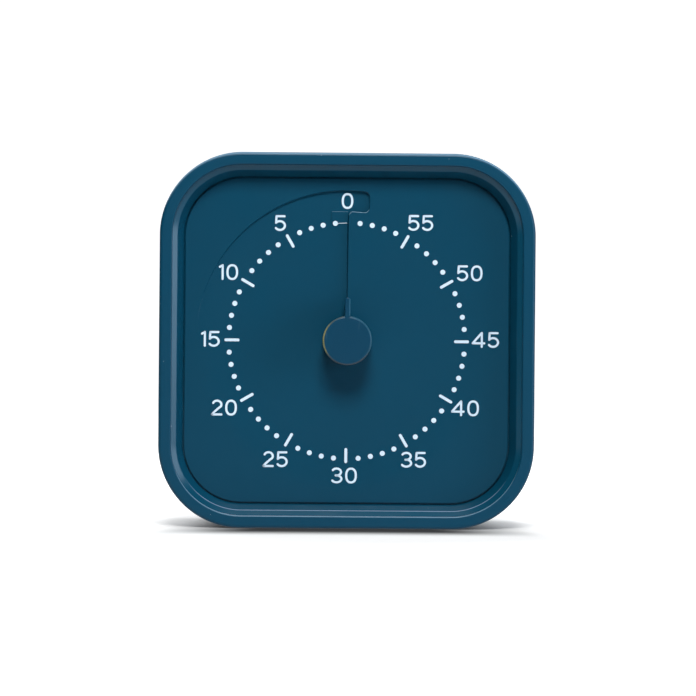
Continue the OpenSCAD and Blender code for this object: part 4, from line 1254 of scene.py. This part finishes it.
class TIMER_OT_dial_print(bpy.types.Operator):
    """Print the dial: minute dots, five-minute ticks and numbers, anticlockwise from zero"""

    bl_idname = "timer.dial_print"
    bl_label = "Dial Print"
    bl_options = {"REGISTER", "UNDO"}

    def execute(self, context):
        size = in_mm(context.scene.timer_print)
        dial = in_mm(context.scene.timer_dial)
        marks = self.minute_marks(size) + self.numbers(size)
        # A thin pale line along the land's lower edge, beside the slot's end, drawn with the ink
        edge_line = line((-2.6, dial.slot_radius - 0.05), (dial.slot_left - 0.05, dial.slot_radius + 0.05))
        marks.append(self.stroke(edge_line, size.edge_line, size.ink))
        ink = join(marks)
        ink.name = "dial_print"
        self.lay_down(ink, dial, size)
        set_up(ink, MATERIALS["dial_print"], angle=40)
        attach(ink, "case")
        return {"FINISHED"}

    def minute_marks(self, size):
        """A dot at each minute and a tick at each fifth, except at zero."""
        dot = rod("dot", size.dot_radius, -size.ink / 2, size.ink / 2, (0, size.dot_ring), 28)
        length = size.tick_outer - size.tick_inner
        tick = plate("tick", size.tick_width / 2, length / 2, size.tick_width / 2 - 0.01,
                     -size.ink / 2, size.ink / 2, 8)
        tick.data.transform(Matrix.Translation((0, size.tick_inner + length / 2, 0)))
        marks = []
        for minute in range(1, 60):
            pattern = dot if minute % 5 else tick
            marks.append(copy_of(pattern, Matrix.Rotation(math.radians(6 * minute), 4, "Z")))
        bpy.data.objects.remove(dot)
        bpy.data.objects.remove(tick)
        return marks

    def stroke(self, points, width, ink):
        """A flat stroke with round ends along a line of points."""
        put_down()
        closed = (points[0] - points[-1]).length < MERGE
        body = [(point, 1.0) for point in (points[:-1] if closed else points)]
        if not closed:
            ahead = (points[0] - points[1]).normalized() * width / 2
            after = (points[-1] - points[-2]).normalized() * width / 2
            cap = [math.radians(a) for a in (10, 30, 50, 70)]
            body = ([(points[0] + ahead * math.cos(a), math.sin(a)) for a in cap] + body
                    + [(points[-1] + after * math.cos(a), math.sin(a)) for a in reversed(cap)])
        bpy.ops.curve.primitive_nurbs_path_add()
        path = bpy.context.object
        curve = path.data
        curve.splines.clear()
        spline = curve.splines.new("POLY")
        spline.points.add(len(body) - 1)
        for point, (place, radius) in zip(spline.points, body):
            point.co = (place.x, place.y, 0, 1)
            point.radius = radius
        spline.use_cyclic_u = closed
        curve.bevel_depth = width / 2
        curve.bevel_resolution = 2
        curve.use_fill_caps = True
        bpy.ops.object.convert(target="MESH")
        bpy.ops.object.mode_set(mode="EDIT")
        weld()
        move_points(lambda co: Vector((co.x, co.y, max(-ink / 2, min(ink / 2, co.z)))))
        put_down()
        return path

    def digit(self, strokes, size):
        """One digit at the middle of the dial."""
        digit = self.stroke(strokes[0], size.stroke, size.ink)
        for points in strokes[1:]:
            combine(digit, self.stroke(points, size.stroke, size.ink), "UNION")
        return digit

    def numbers(self, size):
        """Every number of the dial, its digits side by side about the number's middle."""
        patterns = {name: self.digit(strokes, size) for name, strokes in digit_strokes().items()}
        marks = []
        for number, (x, y) in NUMBER_PLACES.items():
            digits = [patterns[name] for name in str(number)]
            spans = [(min(v.co.x for v in d.data.vertices), max(v.co.x for v in d.data.vertices))
                     for d in digits]
            total = sum(high - low for low, high in spans) + size.digit_gap * (len(digits) - 1)
            left = x - total / 2
            for digit, (low, high) in zip(digits, spans):
                marks.append(copy_of(digit, Matrix.Translation((left - low, y, 0))))
                left += high - low + size.digit_gap
        for pattern in patterns.values():
            bpy.data.objects.remove(pattern)
        return marks

    def lay_down(self, ink, dial, size):
        """Lowers the print onto the dial's surface, also in the pocket and over the land."""
        top = lying_box("dial_face")[1].z

        def settle(co):
            height = top + dial_height(co.x, co.y, dial)
            r = math.hypot(co.x, co.y)
            in_pocket = dial.pocket_radius < r < dial.recess_radius and co.y > 0
            if in_pocket and 0 < co.x < dial.pocket_width:
                height = top - dial.pitch
            on_land = -dial.land_width < co.x < dial.slot_right
            if on_land and dial.slot_radius - 0.8 < co.y < dial.pocket_radius:
                height = max(height, top - dial.pitch + dial.land_height)
            return Vector((co.x, co.y, height + size.ink / 4 + co.z))

        pick_up(ink)
        bpy.ops.object.mode_set(mode="EDIT")
        move_points(settle)
        put_down()


def rounded_reach(dx, dy, half, centre):
    """Distance from the middle to the edge of a rounded square, in a direction."""
    dx, dy = abs(dx), abs(dy)
    side = half / max(dx, dy)
    if min(dx, dy) * side <= centre:
        return side
    radius = half - centre
    along = centre * (dx + dy)
    return along + math.sqrt(along * along - 2 * centre * centre + radius * radius)


class TIMER_OT_knob(bpy.types.Operator):
    """Model the knob with its pointer"""

    bl_idname = "timer.knob"
    bl_label = "Knob"
    bl_options = {"REGISTER", "UNDO"}

    bore_radius = 1.49              # of the hole for the arbor
    face_thickness = 2              # what stays between that hole and the front

    def execute(self, context):
        size = in_mm(context.scene.timer_knob)
        low, high = lying_box("knob")
        radius = high.x
        hollow = low.z + size.hollow_depth
        bore_end = high.z - self.face_thickness
        knob = draw_face("knob", [
            (0, high.z), (radius, high.z, size.edge), (radius, low.z, 0.1),
            (size.hollow_radius, low.z, 0.1), (size.hollow_radius, hollow),
            (self.bore_radius, hollow), (self.bore_radius, bore_end), (0, bore_end)], steps=10)
        lathe(knob)
        half = size.pointer_width / 2
        fin = plate("pointer", half, high.y / 2, 0, low.z + APART, high.z - 2 * APART)
        fin.data.transform(Matrix.Translation((0, high.y / 2, 0)))
        open_mesh(fin, "EDGE")
        self.select_upright(lambda co: co.y > high.y - MERGE)
        bpy.ops.mesh.bevel(offset=half - 2 * APART, segments=10)
        put_down()
        break_edges(fin, size.pointer_edge, 4, 50)
        fin = combine(fin, rod("inside", radius - size.edge, low.z - OVER, high.z + OVER), "DIFFERENCE")
        combine(knob, fin, "UNION")
        set_up(knob, MATERIALS["knob"])
        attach(knob, "knob")
        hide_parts("knob")
        return {"FINISHED"}

    def select_upright(self, test):
        """Selects the open mesh's edges along Z whose two ends pass the test."""
        obj = bpy.context.edit_object
        mesh = bmesh.from_edit_mesh(obj.data)
        for edge in mesh.edges:
            one, other = (vert.co for vert in edge.verts)
            upright = (one.xy - other.xy).length < MERGE
            edge.select = upright and test(one) and test(other)
        bmesh.update_edit_mesh(obj.data)


class TIMER_OT_timer_disk(bpy.types.Operator):
    """Model the coloured disk: a thin sheet that climbs one pitch round its hub"""

    bl_idname = "timer.timer_disk"
    bl_label = "Disk"
    bl_options = {"REGISTER", "UNDO"}

    cut_half = 0.65                 # half width of the cut between the disk's two ends
    hub_radius = 4.4
    square_half = 1.6               # half width of the square hole in the hub
    sheet_start = 4.0               # inside the hub, so that the two join
    sheet_turn = 358                # degrees that the sheet is turned through before its ends are set
    sheet_depths = (0.625, 0.875)   # its two sides under the dial's surface
    sheet_rings = (12, 20)          # radii of two rings of points in the sheet
    columns = 238

    def execute(self, context):
        dial = in_mm(context.scene.timer_dial)
        low, high = lying_box("timer_disk")
        top = lying_box("dial_face")[1].z
        radius = high.x
        upper, lower = (top - depth for depth in self.sheet_depths)
        rings = (self.sheet_start, *self.sheet_rings)
        disk = draw_face("timer_disk", [
            *[(r, upper) for r in rings], (radius, upper, 0.08), (radius, lower, 0.08),
            *[(r, lower) for r in reversed(rings)]], steps=2)
        bpy.ops.mesh.select_all(action="SELECT")
        move_points(lambda co: Matrix.Rotation(QUARTER, 3, "Z") @ co)
        spin(self.columns, math.radians(self.sheet_turn))
        weld()
        move_points(lambda co: self.settle(co, dial))
        face_outwards()
        put_down()
        hub = draw_face("hub", [
            (0, low.z), (self.hub_radius, low.z, 0.2), (self.hub_radius, high.z, 0.3), (0, high.z)])
        lathe(hub, 96)
        combine(disk, hub, "UNION")
        half = self.square_half
        square = block("square", (-half, -half, low.z - OVER), (half, half, high.z + OVER))
        combine(disk, square, "DIFFERENCE")
        set_up(disk, MATERIALS["disk"], angle=30)
        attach(disk, "disk")
        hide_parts("timer_disk")
        return {"FINISHED"}

    def settle(self, co, dial):
        """Sets a point of the turned sheet to its height, with the cut between the two ends kept open."""
        radius, turned = turn_of(co.x, co.y)
        share = (turned + 0.01) % 360 / self.sheet_turn
        half_cut = math.asin(self.cut_half / radius)
        angle = half_cut + share * (2 * math.pi - 2 * half_cut)
        height = co.z + climb(math.degrees(angle), dial)
        return Vector((-radius * math.sin(angle), radius * math.cos(angle), height))


class TIMER_OT_back_parts(bpy.types.Operator):
    """Model the rear case, the battery door and the slider at the back"""

    bl_idname = "timer.back_parts"
    bl_label = "Back Parts"
    bl_options = {"REGISTER", "UNDO"}

    def execute(self, context):
        case = self.rear_case()
        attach(case, "case")
        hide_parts("rear_case")
        door = self.battery_door()
        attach(door, "door")
        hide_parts("battery_door")
        slider = self.alert_slider()
        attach(slider, "slider")
        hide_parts("alert_slider")
        return {"FINISHED"}

    def rear_case(self):
        """The rear case of the frame with its edges broken."""
        case = frame["nodes"]["rear_case"].copy()
        case.data = case.data.copy()
        case.name = "rear_case_moulding"
        case.parent = None
        for key in [key for key in case.keys() if key.startswith("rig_")]:
            del case[key]
        bpy.context.collection.objects.link(case)
        open_mesh(case)
        bpy.ops.mesh.select_all(action="SELECT")
        bpy.ops.mesh.remove_doubles(threshold=MERGE * MM)
        bpy.ops.mesh.dissolve_limited(angle_limit=math.radians(1))
        put_down()
        case.data.transform(STAND.inverted())
        break_edges(case, 0.2, 2, 50)
        return set_up(case, MATERIALS["case"])

    def battery_door(self):
        """A plate with broken edges and three ribs to grip."""
        rib_height = 0.4
        rib_half = (5, 0.4)
        rib_places = (2.0, 3.6, 5.2)    # above the door's middle
        low, high = lying_box("battery_door")
        middle = (low + high) / 2
        back = low.z + rib_height
        door = plate("battery_door", high.x, (high.y - low.y) / 2, 1.2, back, high.z, 12)
        break_edges(door, 0.3, 3)
        for y in rib_places:
            bar = plate("rib", *rib_half, 0.38, low.z, back + 0.5, 8)
            break_edges(bar, 0.15, 3)
            bar.data.transform(Matrix.Translation((0, y, 0)))
            combine(door, bar, "UNION")
        door.data.transform(Matrix.Translation((middle.x, middle.y, 0)))
        return set_up(door, MATERIALS["case"])

    def alert_slider(self):
        """A button with grip grooves on a wider foot."""
        foot = 0.7
        button_half = (1.7, 1.5)
        groove_half = (0.14, 1.1)
        groove_depth = 0.2
        low, high = lying_box("alert_slider")
        middle = (low + high) / 2
        slider = plate("alert_slider", high.x - middle.x, high.y - middle.y, 0.4, high.z - foot, high.z, 6)
        button = plate("button", *button_half, 0.6, low.z, high.z - foot / 2, 8)
        break_edges(button, 0.25, 3)
        for x in (-0.8, 0, 0.8):
            groove = block("groove", (x - groove_half[0], -groove_half[1], low.z - OVER),
                           (x + groove_half[0], groove_half[1], low.z + groove_depth))
            combine(button, groove, "DIFFERENCE")
        combine(slider, button, "UNION")
        slider.data.transform(Matrix.Translation((middle.x, middle.y, 0)))
        return set_up(slider, MATERIALS["slider"])


class TIMER_OT_works(bpy.types.Operator):
    """Give the works inside the case, and the screws, their finishes"""

    bl_idname = "timer.works"
    bl_label = "Works"
    bl_options = {"REGISTER", "UNDO"}

    def execute(self, context):
        for part in frame["record"]["subparts"]:
            works = frame["nodes"][part["node"]]
            works.data.materials.clear()
            works.data.materials.append(MATERIALS[part["material_slot"]])
        return {"FINISHED"}


# ---- stage ----

class TIMER_OT_stage(bpy.types.Operator):
    """Set up the floor, the backdrop, the lights and the camera"""

    bl_idname = "timer.stage"
    bl_label = "Stage"
    bl_options = {"REGISTER", "UNDO"}

    paper = (0.6, 0.6, 0.6)
    # black is the colour that the painted contact shadow turns the paper towards
    black = (0, 0, 0, 1)
    floor_size = 8                  # metres across, before its far edge moves up to the curve
    wall_place = 2                  # metres behind the timer
    wall_height = 4
    curve = 0.45                    # radius between the floor and the wall
    curve_floor = 0.5               # length of the floor's last strip, which the curve lies in
    open_reach = 34 * MM            # how near a thing must be to shade the paper's glow
    crease = 0.4                    # a lower power gives a paler shade there
    near_glow = 0.39                # what the paper near the timer needs to look white
    mirrored_glow = 0.45            # what a shiny face sees of the paper's glow
    mirrored_reach = (0.7, 0.3)
    # where each mask of the painted contact shadow goes from 0 to 1, in millimetres: out from the timer's
    # sides, and backwards
    contact_out = (51, 22)
    contact_front = (-45.5, -26)
    contact_back = (60, 30)
    # How dark the painted contact shadow gets
    contact_depth = 0.96
    beside_out = (40, 64)
    beside_away = (68, 118)
    lean = (0.3, 8)                 # the shade is wider at the back: a slope and a distance
    # name, place, size, the setting that holds the power, and colour
    lamps = (
        ("key", (0.02, -0.64, 0.62), 0.28, "key_power", (1.0, 0.99, 0.97)),
        ("overhead", (0.0, -0.05, 0.74), 0.44, "top_power", (0.92, 0.96, 1.0)),
        ("fill", (0.80, -0.36, 0.20), 0.48, "fill_power", (0.78, 0.89, 1.0)),
        ("behind", (-0.55, 0.85, 0.55), 0.60, "back_power", (0.92, 0.96, 1.0)),
    )

    def execute(self, context):
        studio = context.scene.timer_studio
        self.floor()
        for name, place, size, power, colour in self.lamps:
            self.area(name, place, size, getattr(studio, power), colour)
        self.room(studio)
        self.camera(context, studio)
        context.scene.view_settings.view_transform = "Standard"
        return {"FINISHED"}

    def floor(self):
        """A pale floor that curves up into the backdrop."""
        put_down()
        bpy.ops.mesh.primitive_plane_add(size=self.floor_size, location=(0, 0, 0))
        floor = bpy.context.object
        floor.name = "floor"
        bpy.ops.object.mode_set(mode="EDIT")
        bpy.ops.mesh.select_all(action="DESELECT")
        select_points(lambda co: co.y > 1)
        far_edge = self.wall_place - self.curve_floor
        bpy.ops.transform.translate(value=(0, far_edge - self.floor_size / 2, 0))
        drag(0, self.curve_floor, 0)
        drag(0, 0, self.wall_height)
        bpy.ops.mesh.select_all(action="DESELECT")
        bpy.ops.object.mode_set(mode="OBJECT")
        break_edges(floor, self.curve, 16)
        bpy.ops.object.shade_smooth()
        floor.data.materials.append(self.backdrop_paper())

    def backdrop_paper(self):
        """White paper that looks white away from the timer, with a painted contact shadow round the timer's
        foot and its glow darkened near things by ambient occlusion, a painted shade.
        """
        material, tree, shader, place = new_material("Backdrop paper", 0.2)
        path = tree.nodes.new("ShaderNodeLightPath").outputs
        across, back, _ = parts(tree, place)
        out = blend(tree, back, self.lean[0], self.lean[1] * MM)
        out = maths(tree, "ADD", out, maths(tree, "ABSOLUTE", across))
        away = add_node(tree, "ShaderNodeVectorMath", {0: place}, operation="LENGTH").outputs["Value"]

        def band(value, ends, kind="LINEAR"):
            return fade(tree, value, ends[0] * MM, ends[1] * MM, kind)

        # A painted contact shadow: the paper turns towards black round the timer's foot, for the camera
        # only
        painted_contact_shadow = times(
            tree, band(out, self.contact_out, "SMOOTHSTEP"), band(back, self.contact_front, "SMOOTHSTEP"),
            band(back, self.contact_back), times(tree, path["Is Camera Ray"], self.contact_depth))
        tree.links.new(tint(tree, painted_contact_shadow, (*self.paper, 1), self.black), shader.inputs["Base Color"])
        shader.inputs["Roughness"].default_value = 0.9
        # Ambient occlusion darkens the paper's glow near things: a painted shade
        shade = add_node(tree, "ShaderNodeAmbientOcclusion", {"Distance": self.open_reach}, samples=12)
        beside = maths(tree, "MAXIMUM", band(out, self.beside_out), band(away, self.beside_away))
        glow = times(
            tree, blend(tree, beside, 1 - self.near_glow, self.near_glow),
            maths(tree, "POWER", shade.outputs["AO"], self.crease),
            maths(tree, "SUBTRACT", 1.0, painted_contact_shadow), path["Is Camera Ray"])
        mirrored = times(tree, path["Is Glossy Ray"], fade(tree, away, *self.mirrored_reach),
                         self.mirrored_glow)
        glow = maths(tree, "MAXIMUM", maths(tree, "MAXIMUM", glow, mirrored), path["Is Transmission Ray"])
        glow = add_node(tree, "ShaderNodeEmission", {"Strength": glow})
        both = add_node(tree, "ShaderNodeAddShader", {0: shader.outputs[0], 1: glow.outputs[0]})
        tree.links.new(both.outputs[0], tree.nodes["Material Output"].inputs["Surface"])
        return material

    def room(self, studio):
        """A little light from all round."""
        world = bpy.data.worlds.new("Studio")
        world.use_nodes = True
        bpy.context.scene.world = world
        background = world.node_tree.nodes["Background"]
        background.inputs["Color"].default_value = (0.9, 0.95, 1.0, 1)
        background.inputs["Strength"].default_value = studio.room_light

    def area(self, name, place, size, power, colour):
        """A square area light aimed at the middle of the timer."""
        put_down()
        middle = Vector((0, 0, (cover_low.z + cover_high.z) / 2))
        aim = (middle - Vector(place)).to_track_quat("-Z", "Y").to_euler()
        bpy.ops.object.light_add(type="AREA", location=place, rotation=aim)
        light = bpy.context.object
        light.name = name
        light.data.size = size
        light.data.energy = power
        light.data.color = colour

    def camera(self, context, studio):
        """The camera in front of the dial."""
        put_down()
        down = -studio.aim_down / MM
        eye = STAND @ Vector((-studio.camera_side / MM, down, studio.camera_distance / MM))
        aim = STAND @ Vector((studio.aim_right / MM, down, 0))
        bpy.ops.object.camera_add(location=eye)
        camera = bpy.context.object
        look = (aim - eye).to_track_quat("-Z", "Y").to_matrix()
        camera.rotation_euler = (look @ Matrix.Rotation(studio.camera_roll, 3, "Z")).to_euler()
        camera.data.lens = studio.lens
        camera.data.sensor_width = 36
        context.scene.camera = camera


class VIEW3D_PT_timer(bpy.types.Panel):
    """Lists the timer's pieces"""

    bl_label = "Countdown Timer"
    bl_category = "Timer"
    bl_space_type = "VIEW_3D"
    bl_region_type = "UI"

    def draw(self, context):
        for operator in OPERATORS:
            self.layout.operator(operator.bl_idname)


SETTINGS = {
    "timer_cover": CoverSettings,
    "timer_bezel": BezelSettings,
    "timer_dial": DialSettings,
    "timer_print": PrintSettings,
    "timer_knob": KnobSettings,
    "timer_studio": StudioSettings,
}
OPERATORS = (
    TIMER_OT_stage, TIMER_OT_silicone_cover, TIMER_OT_front_case, TIMER_OT_dial_face,
    TIMER_OT_dial_print, TIMER_OT_timer_disk, TIMER_OT_knob, TIMER_OT_back_parts, TIMER_OT_works,
)
CLASSES = (*SETTINGS.values(), *OPERATORS, VIEW3D_PT_timer)


def register():
    """Registers the classes and hangs the settings on the scene."""
    for cls in CLASSES:
        bpy.utils.register_class(cls)
    for name, group in SETTINGS.items():
        setattr(bpy.types.Scene, name, PointerProperty(type=group))


def unregister():
    """Takes the settings off the scene and unregisters the classes."""
    for name in SETTINGS:
        delattr(bpy.types.Scene, name)
    for cls in reversed(CLASSES):
        bpy.utils.unregister_class(cls)


def main():
    """Builds the materials, the stage and every piece."""
    register()
    build_materials()
    for operator in OPERATORS:
        group, name = operator.bl_idname.split(".")
        getattr(getattr(bpy.ops, group), name)()
    put_down()


if __name__ == "__main__":
    main()
